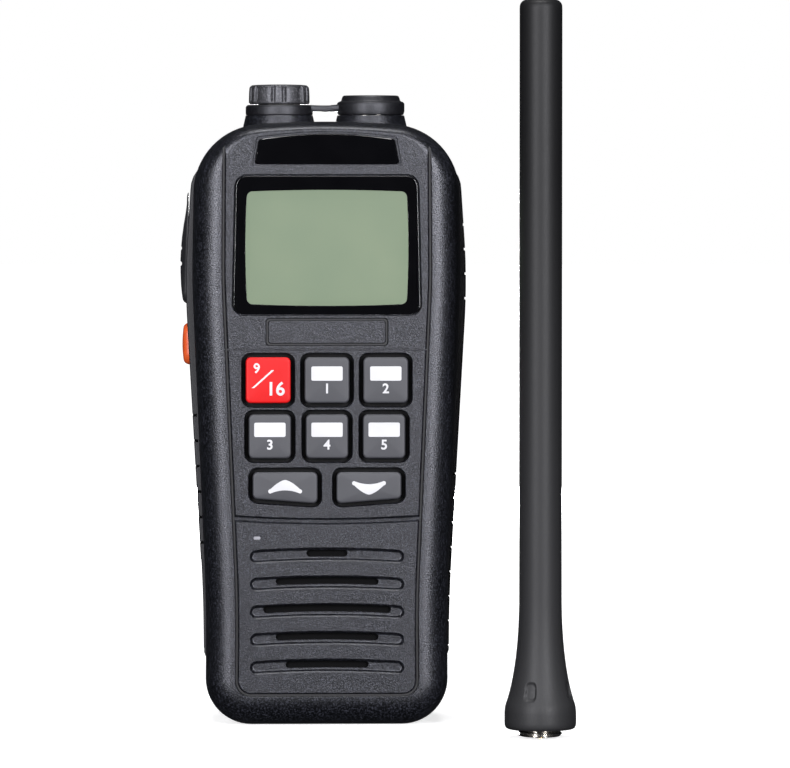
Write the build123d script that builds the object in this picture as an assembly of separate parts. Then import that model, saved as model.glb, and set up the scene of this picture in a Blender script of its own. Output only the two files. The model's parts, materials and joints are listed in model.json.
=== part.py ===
"""VHF marine handset standing upright, with its unscrewed antenna standing beside it.

Frame: millimetres, +Z up along the handset, its face towards -Y, +X to the right of the face.
The origin is the middle of the face that the handset rests on.
"""

import os
from math import cos, radians, sin

from build123d import *

# Case outline seen from the face: half widths at named heights, and the radii between them.
CROWN_Z = 131.5
CROWN_ARCH = 2.2
SHOULDER_Z = CROWN_Z - CROWN_ARCH
SHOULDER_TUCK = 2.1
SHOULDER_R = 15.0
HIP_HALF = 31.0
HIP_Z = 97.0
HIP_R = 150.0
SHOULDER_HALF = HIP_HALF - SHOULDER_TUCK
KNEE_TUCK = 3.9
KNEE_HALF = HIP_HALF - KNEE_TUCK
KNEE_Z = 27.0
KNEE_R = 300.0
FOOT_TUCK = 0.2
FOOT_HALF = KNEE_HALF - FOOT_TUCK
FOOT_R = 10.0
GRIP_STEP_FOOT = 0.4
GRIP_STEP_HIP = 1.7
GRIP_STEP_SHOULDER = 0.15

# Depths: the face is at the front, the battery bay floor and the back of the pack behind it.
FACE_Y = -19.0
PARTING_Y = -5.0
BAY_Y = 7.0
BACK_Y = 18.5
RAIL_WIDTH = 6.4
RAIL_DEPTH = 6.0
TOP_ROUND = 2.0
RAIL_SECTIONS = 5
WALL = 2.0
FACE_WALL = 2.0
RAIL_WALL = 5.0
LEDGE_Y = -14.0
HEAD_INSET = 1.2
BACK_ROUND = 4.0

# Clearances.
SEAT_GAP = 0.1
RUN_GAP = 0.3
SLIDE_GAP = 0.15
NEAR = 1e-3

# Face details.
GROOVE_WIDTH = 0.8
GROOVE_DEPTH = 0.6
DIVIDER_Z = 82.0
SMILE_Z = 45.8
SMILE_SAG = 1.5
SMILE_WIDTH = 1.3
TAG_WIDTH = 26.4
TAG_HEIGHT = 5.9
TAG_Z = 85.85
TAG_CORNER = 0.8
TAG_LINE = 0.5
TAG_DEPTH = 0.35

# Name plate: a bare gloss plate in a recess over the display.
PLATE_WIDTH = 31.5
PLATE_TOP_WIDTH = 29.4
PLATE_LOW_Z = 122.2
PLATE_HIGH_Z = 127.6
PLATE_ARCH = 1.2
PLATE_THICK = 0.7
PLATE_MARGIN = 0.45

# Display.
WINDOW_TOP_HALF = 19.66
WINDOW_LOW_HALF = 20.35
WINDOW_TOP_Z = 119.7
WINDOW_LOW_Z = 89.65
WINDOW_CORNER = 2.4
WINDOW_THICK = 1.1
VIEW_WIDTH = 36.4
VIEW_HEIGHT = 26.0
VIEW_Z = 104.1
VIEW_CORNER = 1.2
LCD_MARGIN = 1.2
LCD_THICK = 1.6

# Keys: width, height, centre; the two arrow keys have a raised outer lower corner.
KEY_PROUD = 0.7
KEY_GAP = 0.85
KEY_CORNER = 1.1
KEY_EDGE = 0.45
KEY_FLANGE = 1.15
KEY_FLANGE_THICK = 0.7
KEY_STEM_R = 1.5
KEY_TRAVEL = 0.6
ROW_1_Z = 75.4
ROW_1_PITCH = 12.75
ROW_1_SIZE = (9.75, 9.95)
ROW_2_Z = 63.2
ROW_2_PITCH = 12.4
ROW_2_SIZE = (9.2, 9.6)
ARROW_Z = 52.0
ARROW_X = 9.1
ARROW_SIZE = (14.1, 6.9)
ARROW_LIFT = 1.1
DOME_R = 2.6
DOME_THICK = 0.45
MEMBRANE_THICK = 0.5
MEMBRANE_HALF = 20.0
MEMBRANE_RIM = 1.0
STEM_HOLE_R = 2.0

# Grille, loudspeaker and microphone.
GRILLE_HALF = 16.5
GRILLE_HEIGHT = 2.3
GRILLE_ARCH = 0.5
GRILLE_DEPTH = 0.9
GRILLE_TOP_Z = 36.9
GRILLE_PITCH = 6.05
GRILLE_OPEN_HALF = (4.5, 11.2, 13.9, 11.2, 9.05)
GRILLE_OPEN_HEIGHT = 1.5
SPEAKER_Z = 24.8
SPEAKER_R = 17.5
CLOTH_THICK = 0.3
FOAM_THICK = 0.8
FOAM_WIDTH = 1.6
BASKET_RIM = 1.2
BASKET_DEPTH = 4.0
BASKET_BACK_R = 11.0
CONE_THICK = 0.5
MAGNET_R = 9.5
MAGNET_THICK = 4.0
MIC_X = -15.3
MIC_Z = 40.9
MIC_SLOT = (1.9, 0.9)
MIC_R = 2.2
MIC_LENGTH = 1.7

# Boards.
BOARD_THICK = 1.6
BOARD_LOW_Z = 46.6
BOARD_GAP = 0.3
SHIELD_SIZE = (32.0, 30.0)
SHIELD_HEIGHT = 3.4
SHIELD_WALL = 0.4
SHIELD_Z = 92.0

# Screws that close the case from the back.
SCREW_EDGE = 11.4
SCREW_X = HIP_HALF - SCREW_EDGE
SCREW_LOW_Z = 11.5
SCREW_HIGH_Z = 122.0
SCREW_R = 1.1
SCREW_HEAD_R = 2.0
SCREW_HEAD = 1.4
SCREW_TIP = 6.0
SCREW_CROSS = 0.6
SCREW_SEAT_Y = 3.0
BOSS_R = 2.9
SCREW_GAP = 0.15

# Seal between the two halves of the case.
SEAL_INSET = 0.6
SEAL_WIDTH = 0.8
SEAL_DEPTH = 0.8

# Rubber side grips with short cross notches.
GRIP_LOW_Z = 14.0
GRIP_HIGH_Z = 121.0
NOTCH_PITCH = 5.4
NOTCH_HEIGHT = 1.0
NOTCH_DEPTH = 0.6
NOTCH_LENGTH = 9.0
NOTCH_RIGHT_HIGH_Z = 114.4
NOTCH_RIGHT_HIGH_COUNT = 5
NOTCH_LOW_Z = 16.4
NOTCH_LOW_COUNT = 8

# Talk button and alert button on the left side.
SIDE_Y = 1.5
TALK_Z = 103.8
TALK_SIZE = (7.4, 24.4)
TALK_PROUD = 1.5
TALK_CORNER = 2.4
TALK_TRAVEL = 1.0
TALK_RIB_PITCH = 3.4
TALK_RIB_HEIGHT = 0.7
TALK_RIB_DEPTH = 0.4
ALERT_Z = 82.7
ALERT_SIZE = (5.2, 9.2)
ALERT_PROUD = 1.4
ALERT_TRAVEL = 0.8
SIDE_KEY_EDGE = 1.0
STEM_SIZE = (3.6, 5.0)
STEM_CORNER = 0.5
LIP_GROW = 0.8
LIP_THICK = 0.8
SWITCH_THICK = 2.0
SWITCH_SIZE = (5.0, 6.0)
SIDE_BOARD_THICK = 1.0
SIDE_BOARD_LOW_Z = 76.0
SIDE_BOARD_HIGH_Z = 112.0
SIDE_BOARD_Y = -2.6

# Volume knob and its switch.
TOP_Y = 4.0
KNOB_X = -10.2
BOSS_TOP_Z = 133.0
BOSS_TOP_R = 7.4
BOSS_FOOT_R = 8.8
BOSS_FOOT_Z = 127.0
KNOB_R = 6.75
KNOB_LOW_Z = 135.5
KNOB_TOP_Z = 139.8
KNOB_DOME = 1.0
KNOB_FLUTES = 16
FLUTE_R = 0.9
FLUTE_DEPTH = 0.45
COLLAR_R = 7.4
COLLAR_TOP_Z = 135.3
POST_R = 4.8
BUSH_R = 3.5
SHAFT_R = 2.9
SHAFT_TOP_Z = 138.4
NUT_FLATS = 8.0
NUT_THICK = 1.0
SWITCH_BODY = (11.0, 11.0, 6.4)
SWITCH_TOP_Z = 126.8
SWITCH_COLLAR_R = 5.0
SWITCH_COLLAR = 0.5

# Antenna socket with its tethered rubber cap.
SOCKET_X = 10.0
THREAD_R = 4.7
THREAD_GAP = 0.06
SOCKET_R = 5.4
SOCKET_FLANGE_R = 6.2
SOCKET_FLANGE = 0.6
SOCKET_LOW_Z = 121.0
SOCKET_FLOOR_Z = 130.4
INSULATOR_R = 3.2
INSULATOR_THICK = 3.0
CONTACT_R = 1.5
CONTACT_BORE_R = 1.05
CONTACT_BORE = 3.0
CONTACT_TAIL_R = 0.6
CONTACT_LOW_Z = 118.5
CAP_R = 7.03
CAP_LOW_Z = 133.75
CAP_TOP_Z = 137.4
CAP_BEVEL = 0.8
CAP_SKIRT = 0.3
CAP_SKIRT_GAP = 0.25
CAP_HINGE_X = 1.0
CAP_HINGE_Z = 134.75
STRAP_WIDTH = 4.2
STRAP_THICK = 1.3
HINGE_R = 0.65

# Battery pack.
PACK_TOP_Z = 88.0
PACK_GAP = 0.25
PACK_WALL = 2.0
COVER_THICK = 1.5
CELL_SIZE = (21.6, 62.0)
CELL_GAP = 0.4
CELL_CORNER = 1.5
CELL_LOW_Z = 18.6
PEG_R = 2.0
PEG_X = 15.0
PEG_Z = 80.0
PEG_LENGTH = 1.6
TERMINAL_X = 7.0
TERMINAL_Z = 80.0
TERMINAL_R = 1.3
TERMINAL_LOW_Y = 3.4
PAD_SIZE = (4.0, 5.0)
PAD_THICK = 0.5
FRAME_SEAL_SIZE = (24.0, 9.0)
FRAME_SEAL_WIDTH = 1.2
FRAME_SEAL_DEPTH = 0.8
CHARGE_X = 16.0
CHARGE_Z = 12.0
CHARGE_R = 2.0
CHARGE_THICK = 0.8
LOCK_Z = 12.0
LOCK_HEAD_R = 4.6
LOCK_HEAD = 1.8
LOCK_SHANK_R = 1.9
LOCK_SLOT = 1.2
LOCK_SLOT_DEPTH = 0.9
LOCK_SLOT_EDGE = 0.9
LOCK_EDGE = 0.3
LOCK_POCKET_WALL = 1.0
INSERT_R = 3.2
INSERT_LENGTH = 4.5
INSERT_BOSS_R = 5.0

# Belt clip.
CLIP_WIDTH = 19.0
CLIP_THICK = 1.8
CLIP_TOP_Z = 84.0
CLIP_LOW_Z = 22.0
CLIP_Y = 25.5
CLIP_EDGE = 0.6
CLIP_FOOT = 3.0
CLIP_CORNER = 3.0
HINGE_Y = 23.2
HINGE_Z = 74.0
PIN_R = 1.2
EAR_R = 2.4
EAR_THICK = 2.2
BRACKET_WIDTH = 25.0
BRACKET_LOW_Z = 56.0
BRACKET_HIGH_Z = 79.0
BRACKET_THICK = 2.0
CLIP_SCREW_X = 7.5
CLIP_SCREW_Z = 61.0
CLIP_SCREW_R = 1.25
CLIP_SCREW_HEAD_R = 2.3
CLIP_SCREW_HEAD = 1.2
COIL_R = 2.1
COIL_INNER_R = 1.4
COIL_LENGTH = 6.0
COIL_TURNS = 5

# Antenna: it stands on its stud, beside the handset.
ANTENNA_X = 45.1
ANTENNA_Y = -44.0
ANTENNA_TOP_Z = 157.1
SHEATH_R = 4.54
SHEATH_LOW_Z = 2.0
SKIRT_R = 7.68
SKIRT_HEIGHT = 4.9
FLARE_TOP_Z = 30.2
FLARE_MID_R = 5.35
FLARE_MID_Z = 16.6
FLARE_LEAN = 0.5
TIP_ROUND = 2.0
STUD_LOW_Z = 0.4
STUD_SHANK = 7.0
STUD_CREST = 0.35
STUD_PITCH = 0.8
CORE_R = 1.6
CORE_END = 7.7
CORE_TOP_Z = ANTENNA_TOP_Z - CORE_END
ANT_PIN_R = 1.0
ANT_INSULATOR_R = 3.2
SKIRT_DIMPLES = 4
DIMPLE_TURN = -68.0
DIMPLE_Z = 10.3
DIMPLE_RADII = (1.4, 1.6, 2.9)
DIMPLE_PLACE_R = 7.45


def facing(y):
    """Plane at depth y on which sketches are drawn as (x, z), seen from the face."""
    return Plane(origin=(0, y, 0), x_dir=(1, 0, 0), z_dir=(0, -1, 0))


def slab(sketch, front, back):
    """Solid between two depths with the sketch as its outline."""
    return extrude(facing(front) * sketch, amount=front - back)


def block(x_span, y_span, z_span):
    """Box given by its two ends along each axis."""
    centre = [sum(span) / 2 for span in (x_span, y_span, z_span)]
    size = [span[1] - span[0] for span in (x_span, y_span, z_span)]
    return Pos(*centre) * Box(*size)


def post(x, y, low, high, radius):
    """Upright cylinder."""
    return Pos(x, y, (low + high) / 2) * Cylinder(radius, high - low)


def rod(x, z, front, back, radius):
    """Cylinder along the depth."""
    return Pos(x, (front + back) / 2, z) * Rot(90, 0, 0) * Cylinder(radius, back - front)


def bar(left, right, y, z, radius):
    """Cylinder along the width."""
    return Pos((left + right) / 2, y, z) * Rot(0, 90, 0) * Cylinder(radius, right - left)


def above(level):
    """Half space over a level, wide enough for the whole handset."""
    return block((-2 * HIP_HALF, 2 * HIP_HALF), (2 * FACE_Y, -2 * FACE_Y), (level, 2 * CROWN_Z))


def below(level):
    """Half space under a level."""
    return block((-2 * HIP_HALF, 2 * HIP_HALF), (2 * FACE_Y, -2 * FACE_Y), (-CROWN_Z, level))


def polygon(corners):
    """Face with straight sides, then each corner rounded to its own radius."""
    with BuildSketch() as drawing:
        with BuildLine():
            Polyline(*[(x, z) for x, z, radius in corners], close=True)
        make_face()
        for x, z, radius in corners:
            if radius > 0:
                fillet(vertices_at(drawing, x, z), radius)
    return drawing.sketch


def vertices_at(drawing, x, z):
    """The corner of a drawing that lies at a point."""
    return [v for v in drawing.vertices() if abs(v.X - x) < NEAR and abs(v.Y - z) < NEAR]


def case_outline(rim=0.0, top=0.0, gripped=False):
    """Outline of the case, drawn in by rim at the sides and foot and by top at the crown.

    The gripped outline includes the rubber side grips, the plain one doesn't.
    """
    foot_step = 0.0 if gripped else GRIP_STEP_FOOT
    hip_step = 0.0 if gripped else GRIP_STEP_HIP
    shoulder_step = 0.0 if gripped else GRIP_STEP_SHOULDER
    knee_step = foot_step + (hip_step - foot_step) * KNEE_Z / HIP_Z
    right = [
        (FOOT_HALF - foot_step - rim, rim, FOOT_R - rim),
        (KNEE_HALF - knee_step - rim, KNEE_Z, KNEE_R + rim),
        (HIP_HALF - hip_step - rim, HIP_Z, HIP_R - rim),
        (SHOULDER_HALF - shoulder_step - rim, SHOULDER_Z - top, SHOULDER_R - rim),
    ]
    points = [(x, z) for x, z, radius in right]
    mirrored = [(-x, z) for x, z in reversed(points)]
    with BuildSketch() as drawing:
        with BuildLine():
            Polyline(*points)
            ThreePointArc(points[-1], (0, CROWN_Z - top), mirrored[0])
            Polyline(*mirrored, points[0])
        make_face()
        for x, z, radius in right:
            fillet(vertices_at(drawing, x, z) + vertices_at(drawing, -x, z), radius)
    return drawing.sketch


def rounded_end(start, end, rim, side_inset, top_inset):
    """Rounded end of the case: sections that shrink along a quarter ellipse from start to end."""
    sections = []
    for step in range(RAIL_SECTIONS + 1):
        angle = radians(90 * step / RAIL_SECTIONS)
        inset = rim + side_inset * (1 - cos(angle))
        top = rim + top_inset * (1 - cos(angle))
        depth = start + (end - start) * sin(angle)
        sections.append(facing(depth) * case_outline(inset, top))
    return loft(sections)


def case_back():
    """Outer form behind the bay floor, shared by the rear shell's head and the battery pack."""
    start = BACK_Y - BACK_ROUND
    straight = slab(case_outline(HEAD_INSET, HEAD_INSET), BAY_Y, start)
    return straight + rounded_end(start, BACK_Y, HEAD_INSET, BACK_ROUND, BACK_ROUND)


def key_places():
    """Name, centre, size and corner lift of each key; the sign of the lift gives its side."""
    names = iter(("red_key", "scan_key", "tag_key", "volume_key", "lock_key", "weather_key"))
    places = []
    for z, pitch, size in ((ROW_1_Z, ROW_1_PITCH, ROW_1_SIZE), (ROW_2_Z, ROW_2_PITCH, ROW_2_SIZE)):
        for column in (-1, 0, 1):
            places.append((next(names), column * pitch, z, size, 0))
    places.append(("up_key", -ARROW_X, ARROW_Z, ARROW_SIZE, -1))
    places.append(("down_key", ARROW_X, ARROW_Z, ARROW_SIZE, 1))
    return places


def key_outline(size, side, grow=0.0):
    """Rounded rectangle, with its outer lower corner raised where side says so."""
    half = size[0] / 2 + grow
    tall = size[1] / 2 + grow
    left_low = -tall + (ARROW_LIFT if side < 0 else 0)
    right_low = -tall + (ARROW_LIFT if side > 0 else 0)
    radius = KEY_CORNER + grow
    corners = [
        (-half, left_low, radius),
        (half, right_low, radius),
        (half, tall, radius),
        (-half, tall, radius),
    ]
    return polygon(corners)


def window_outline(grow=0.0):
    """Gloss display window, a little wider at its foot."""
    radius = WINDOW_CORNER + grow
    corners = [
        (-WINDOW_LOW_HALF - grow, WINDOW_LOW_Z - grow, radius),
        (WINDOW_LOW_HALF + grow, WINDOW_LOW_Z - grow, radius),
        (WINDOW_TOP_HALF + grow, WINDOW_TOP_Z + grow, radius),
        (-WINDOW_TOP_HALF - grow, WINDOW_TOP_Z + grow, radius),
    ]
    return polygon(corners)


def plate_outline(grow=0.0):
    """Name plate with an arched upper edge."""
    low = PLATE_WIDTH / 2 + grow
    high = PLATE_TOP_WIDTH / 2 + grow
    foot = PLATE_LOW_Z - grow
    head = PLATE_HIGH_Z + grow
    with BuildSketch() as drawing:
        with BuildLine():
            Polyline((-high, head), (-low, foot), (low, foot), (high, head))
            ThreePointArc((high, head), (0, head + PLATE_ARCH), (-high, head))
        make_face()
    return drawing.sketch


def arched_slot(half, height, z, arch):
    """Slot with round ends that rises by arch in its middle."""
    spine = ThreePointArc((-half, z - arch / 2), (0, z + arch / 2), (half, z - arch / 2))
    return SlotArc(spine, height)


def screw_places():
    """The four case screws as (x, z)."""
    return [(side * SCREW_X, z) for z in (SCREW_LOW_Z, SCREW_HIGH_Z) for side in (-1, 1)]


def face_grooves():
    """Lines sunk in the face: the long loop inside the rails, the dividers and the bare tag."""
    outer = case_outline(RAIL_WIDTH + SEAT_GAP, -CROWN_Z / 2)
    inner = case_outline(RAIL_WIDTH + SEAT_GAP + GROOVE_WIDTH, -CROWN_Z / 2)
    floor = FACE_Y + GROOVE_DEPTH
    loop = slab(outer - inner, FACE_Y - 1, floor)
    reach = case_outline(RAIL_WIDTH + SEAT_GAP + GROOVE_WIDTH / 2, -CROWN_Z / 2)
    divider = Pos(0, DIVIDER_Z) * Rectangle(2 * HIP_HALF, GROOVE_WIDTH / 2)
    smile_arc = ThreePointArc((-HIP_HALF, SMILE_Z), (0, SMILE_Z - SMILE_SAG), (HIP_HALF, SMILE_Z))
    smile = SlotArc(smile_arc, SMILE_WIDTH)
    lines = slab((divider + smile) & reach, FACE_Y - 1, floor)
    tag = Pos(0, TAG_Z) * RectangleRounded(TAG_WIDTH, TAG_HEIGHT, TAG_CORNER)
    tag_core = Pos(0, TAG_Z) * RectangleRounded(
        TAG_WIDTH - 2 * TAG_LINE, TAG_HEIGHT - 2 * TAG_LINE, TAG_CORNER - TAG_LINE / 2
    )
    tag_line = slab(tag - tag_core, FACE_Y - 1, FACE_Y + TAG_DEPTH)
    return [loop, lines, tag_line]


def grille_cuts():
    """Five arched grooves, each with a shorter slot through the face along its upper part."""
    cuts = []
    for row, open_half in enumerate(GRILLE_OPEN_HALF):
        z = GRILLE_TOP_Z - row * GRILLE_PITCH
        groove = arched_slot(GRILLE_HALF - GRILLE_HEIGHT / 2, GRILLE_HEIGHT, z, GRILLE_ARCH)
        rise = (GRILLE_HEIGHT - GRILLE_OPEN_HEIGHT) / 2
        ratio = open_half / GRILLE_HALF
        slot = arched_slot(
            open_half - GRILLE_OPEN_HEIGHT / 2, GRILLE_OPEN_HEIGHT, z + rise, GRILLE_ARCH * ratio**2
        )
        cuts.append(slab(groove, FACE_Y - 1, FACE_Y + GRILLE_DEPTH))
        cuts.append(slab(slot, FACE_Y - 1, LEDGE_Y))
    return cuts


def front_shell():
    """Moulded front half: railed face, window, key wells, grille and screw bosses."""
    rail_y = FACE_Y + RAIL_DEPTH
    shell = slab(case_outline(), rail_y, PARTING_Y) + rounded_end(rail_y, FACE_Y, 0, RAIL_WIDTH, TOP_ROUND)
    shell -= slab(case_outline(WALL, WALL), LEDGE_Y, PARTING_Y)
    shell -= slab(case_outline(RAIL_WALL, RAIL_WALL), FACE_Y + FACE_WALL, LEDGE_Y)
    for x, z in screw_places():
        shell += rod(x, z, LEDGE_Y - 1, PARTING_Y, BOSS_R) & slab(case_outline(1), LEDGE_Y - 1, PARTING_Y)
        shell -= rod(x, z, LEDGE_Y + 1, PARTING_Y + 1, SCREW_R + SCREW_GAP)
    cuts = face_grooves() + grille_cuts()
    cuts.append(slab(plate_outline(PLATE_MARGIN), FACE_Y - 1, FACE_Y + PLATE_THICK / 2))
    cuts.append(slab(plate_outline(SEAT_GAP), FACE_Y - 1, FACE_Y + PLATE_THICK))
    cuts.append(slab(window_outline(SEAT_GAP), FACE_Y - 1, FACE_Y + WINDOW_THICK + SEAT_GAP))
    view = Pos(0, VIEW_Z) * RectangleRounded(VIEW_WIDTH, VIEW_HEIGHT, VIEW_CORNER)
    cuts.append(slab(view, FACE_Y - 1, LEDGE_Y))
    for name, x, z, size, side in key_places():
        well = Pos(x, z) * key_outline(size, side, KEY_GAP)
        cuts.append(slab(well, FACE_Y - 1, LEDGE_Y))
    mic = Pos(MIC_X, MIC_Z) * SlotOverall(*MIC_SLOT)
    cuts.append(slab(mic, FACE_Y - 1, LEDGE_Y))
    inner_rim = SEAL_INSET + SEAL_WIDTH
    seal = case_outline(SEAL_INSET, SEAL_INSET) - case_outline(inner_rim, inner_rim)
    cuts.append(slab(seal, PARTING_Y - SEAL_DEPTH, PARTING_Y + 1))
    for cut in cuts:
        shell -= cut
    return shell


def shell_seal():
    """Rubber cord pressed between the two halves of the case."""
    outer = SEAL_INSET + SEAT_GAP
    inner = SEAL_INSET + SEAL_WIDTH - SEAT_GAP
    ring = case_outline(outer, outer) - case_outline(inner, inner)
    return slab(ring, PARTING_Y - SEAL_DEPTH, PARTING_Y)


def side_opening(size, z, grow, x_span, corner=None):
    """Rounded opening through the left side, drawn as (y, z)."""
    radius = min(size) / 2 - NEAR if corner is None else corner
    outline = RectangleRounded(size[0] + 2 * grow, size[1] + 2 * grow, radius + grow)
    plane = Plane(origin=(x_span[0], SIDE_Y, z), x_dir=(0, 1, 0), z_dir=(1, 0, 0))
    return extrude(plane * outline, amount=x_span[1] - x_span[0])


def wall_x(z):
    """Outer half width of the plain case at a height above the knee."""
    share = (z - KNEE_Z) / (HIP_Z - KNEE_Z)
    knee = KNEE_HALF - GRIP_STEP_FOOT - (GRIP_STEP_HIP - GRIP_STEP_FOOT) * KNEE_Z / HIP_Z
    hip = HIP_HALF - GRIP_STEP_HIP
    if z > HIP_Z:
        share = (z - HIP_Z) / (SHOULDER_Z - HIP_Z)
        return hip + (SHOULDER_HALF - GRIP_STEP_SHOULDER - hip) * share
    return knee + (hip - knee) * share


def grip_x(z):
    """Outer half width over the grips at a height above the knee."""
    if z > HIP_Z:
        return HIP_HALF - (HIP_HALF - SHOULDER_HALF) * (z - HIP_Z) / (SHOULDER_Z - HIP_Z)
    return KNEE_HALF + (HIP_HALF - KNEE_HALF) * (z - KNEE_Z) / (HIP_Z - KNEE_Z)


def widest_wall(z, reach):
    """Largest half width of the plain case within a reach over and under a height."""
    heights = [z - reach, z + reach]
    if abs(z - HIP_Z) < reach:
        heights.append(HIP_Z)
    return max(wall_x(height) for height in heights)


def side_lip_x(z):
    """Where the retaining lip of a side button begins, just inside the sloping wall."""
    reach = STEM_SIZE[1] / 2 + LIP_GROW
    narrowest = min(wall_x(z - reach), wall_x(z + reach))
    return -narrowest + WALL + SLIDE_GAP


def side_wells():
    """Openings in the left side for the two buttons' stems, through the case wall."""
    cuts = []
    for z in (TALK_Z, ALERT_Z):
        cuts.append(side_opening(STEM_SIZE, z, RUN_GAP, (-HIP_HALF, -HIP_HALF / 2), STEM_CORNER))
    return cuts


def rear_shell():
    """Moulded rear half: battery bay below, deep head above with the two top bosses."""
    shell = slab(case_outline(), PARTING_Y, BAY_Y)
    shell += case_back() & above(PACK_TOP_Z)
    for x in (KNOB_X, SOCKET_X):
        height = BOSS_TOP_Z - BOSS_FOOT_Z
        middle = (BOSS_TOP_Z + BOSS_FOOT_Z) / 2
        shell += Pos(x, TOP_Y, middle) * Cone(BOSS_FOOT_R, BOSS_TOP_R, height)
    shell += post(KNOB_X, TOP_Y, BOSS_FOOT_Z, COLLAR_TOP_Z - SEAT_GAP, POST_R)
    shell -= slab(case_outline(WALL, WALL), PARTING_Y, BAY_Y - WALL)
    inner = HEAD_INSET + WALL
    shell -= slab(case_outline(inner, inner), BAY_Y - WALL, BACK_Y - WALL) & above(PACK_TOP_Z + WALL)
    for x, z in screw_places():
        depth = BACK_Y if z > PACK_TOP_Z else BAY_Y
        shell += rod(x, z, PARTING_Y, depth - WALL / 2, BOSS_R) & slab(case_outline(1), PARTING_Y, depth)
        shell -= rod(x, z, PARTING_Y - 1, SCREW_SEAT_Y, SCREW_R + SCREW_GAP)
        shell -= rod(x, z, SCREW_SEAT_Y, depth + 1, SCREW_HEAD_R + SCREW_GAP)
    shell += rod(0, LOCK_Z, BAY_Y - INSERT_LENGTH - WALL, BAY_Y - WALL / 2, INSERT_BOSS_R)
    shell -= rod(0, LOCK_Z, BAY_Y - INSERT_LENGTH, BAY_Y + 1, INSERT_R)
    shell -= post(KNOB_X, TOP_Y, BOSS_FOOT_Z - WALL, KNOB_TOP_Z, BUSH_R + SEAT_GAP)
    shell -= post(SOCKET_X, TOP_Y, BOSS_FOOT_Z - WALL, BOSS_TOP_Z + 1, SOCKET_R + SEAT_GAP)
    for x in (-TERMINAL_X, 0, TERMINAL_X):
        shell -= rod(x, TERMINAL_Z, BAY_Y - WALL - 1, BAY_Y + 1, TERMINAL_R + SEAT_GAP)
    for side in (-1, 1):
        shell -= rod(side * PEG_X, PEG_Z, BAY_Y - WALL / 2 - PEG_LENGTH, BAY_Y + 1, PEG_R + SLIDE_GAP)
    shell -= terminal_seal_ring(0, BAY_Y - FRAME_SEAL_DEPTH, BAY_Y + 1)
    for cut in side_wells():
        shell -= cut
    return shell


def terminal_seal_ring(clear, front, back):
    """Rounded frame around the battery terminals."""
    width, height = FRAME_SEAL_SIZE
    outer = RectangleRounded(width - 2 * clear, height - 2 * clear, height / 3 - clear)
    inner_width = width - 2 * FRAME_SEAL_WIDTH + 2 * clear
    inner_height = height - 2 * FRAME_SEAL_WIDTH + 2 * clear
    inner = RectangleRounded(inner_width, inner_height, height / 3 - FRAME_SEAL_WIDTH + clear)
    return slab(Pos(0, TERMINAL_Z) * (outer - inner), front, back)


def side_grip(side):
    """Rubber grip on one side, with short notches; the left one makes room for the buttons."""
    band = case_outline(gripped=True) - case_outline()
    grip = slab(band, PARTING_Y, BAY_Y) & above(GRIP_LOW_Z) & below(GRIP_HIGH_Z)
    reach = (0, 2 * HIP_HALF) if side > 0 else (-2 * HIP_HALF, 0)
    grip = grip & block(reach, (PARTING_Y - 1, BAY_Y + 1), (0, CROWN_Z))
    heights = [NOTCH_LOW_Z + step * NOTCH_PITCH for step in range(NOTCH_LOW_COUNT)]
    if side > 0:
        heights += [NOTCH_RIGHT_HIGH_Z - step * NOTCH_PITCH for step in range(NOTCH_RIGHT_HIGH_COUNT)]
    for z in heights:
        edge = grip_x(max(z, KNEE_Z))
        spans = sorted((side * (edge - NOTCH_DEPTH), side * (edge + 2)))
        middle = (PARTING_Y + BAY_Y) / 2
        notch_y = (middle - NOTCH_LENGTH / 2, middle + NOTCH_LENGTH / 2)
        grip -= block(spans, notch_y, (z - NOTCH_HEIGHT / 2, z + NOTCH_HEIGHT / 2))
    if side < 0:
        through = (-2 * HIP_HALF, 0)
        grip -= side_opening(TALK_SIZE, TALK_Z, RUN_GAP, through, TALK_CORNER)
        grip -= side_opening(ALERT_SIZE, ALERT_Z, RUN_GAP, through)
    return grip


def side_button(size, z, proud, travel, corner=None):
    """Button cap on the left side with a stem through the wall and a lip that keeps it in."""
    back = -widest_wall(z, size[1] / 2) - travel - SEAT_GAP
    cap = side_opening(size, z, 0, (-grip_x(z) - proud, back), corner)
    cap = fillet(cap.faces().sort_by(Axis.X)[0].edges(), min(proud, SIDE_KEY_EDGE))
    lip_x = side_lip_x(z)
    stem = side_opening(STEM_SIZE, z, 0, (back - SIDE_KEY_EDGE / 2, lip_x + LIP_THICK), STEM_CORNER)
    lip = side_opening(STEM_SIZE, z, LIP_GROW, (lip_x, lip_x + LIP_THICK), STEM_CORNER)
    return cap + stem + lip


def talk_button():
    """Push-to-talk button with three finger ribs."""
    button = side_button(TALK_SIZE, TALK_Z, TALK_PROUD, TALK_TRAVEL, TALK_CORNER)
    outer = -grip_x(TALK_Z) - TALK_PROUD
    for step in (-1, 0, 1):
        z = TALK_Z + step * TALK_RIB_PITCH
        z_span = (z - TALK_RIB_HEIGHT / 2, z + TALK_RIB_HEIGHT / 2)
        half = TALK_SIZE[0] / 2
        button -= block((outer - 1, outer + TALK_RIB_DEPTH), (SIDE_Y - half, SIDE_Y + half), z_span)
    return button


def alert_button():
    """Oval button under the talk button."""
    return side_button(ALERT_SIZE, ALERT_Z, ALERT_PROUD, ALERT_TRAVEL)


def side_switch(z, travel):
    """Small push switch behind one side button."""
    outer = side_lip_x(z) + LIP_THICK + travel + SEAT_GAP
    half_y, half_z = SWITCH_SIZE[0] / 2, SWITCH_SIZE[1] / 2
    return block((outer, side_board_x()), (SIDE_Y - half_y, SIDE_Y + half_y), (z - half_z, z + half_z))


def side_switches():
    """The two push switches on the side board."""
    return [side_switch(TALK_Z, TALK_TRAVEL), side_switch(ALERT_Z, ALERT_TRAVEL)]


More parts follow.
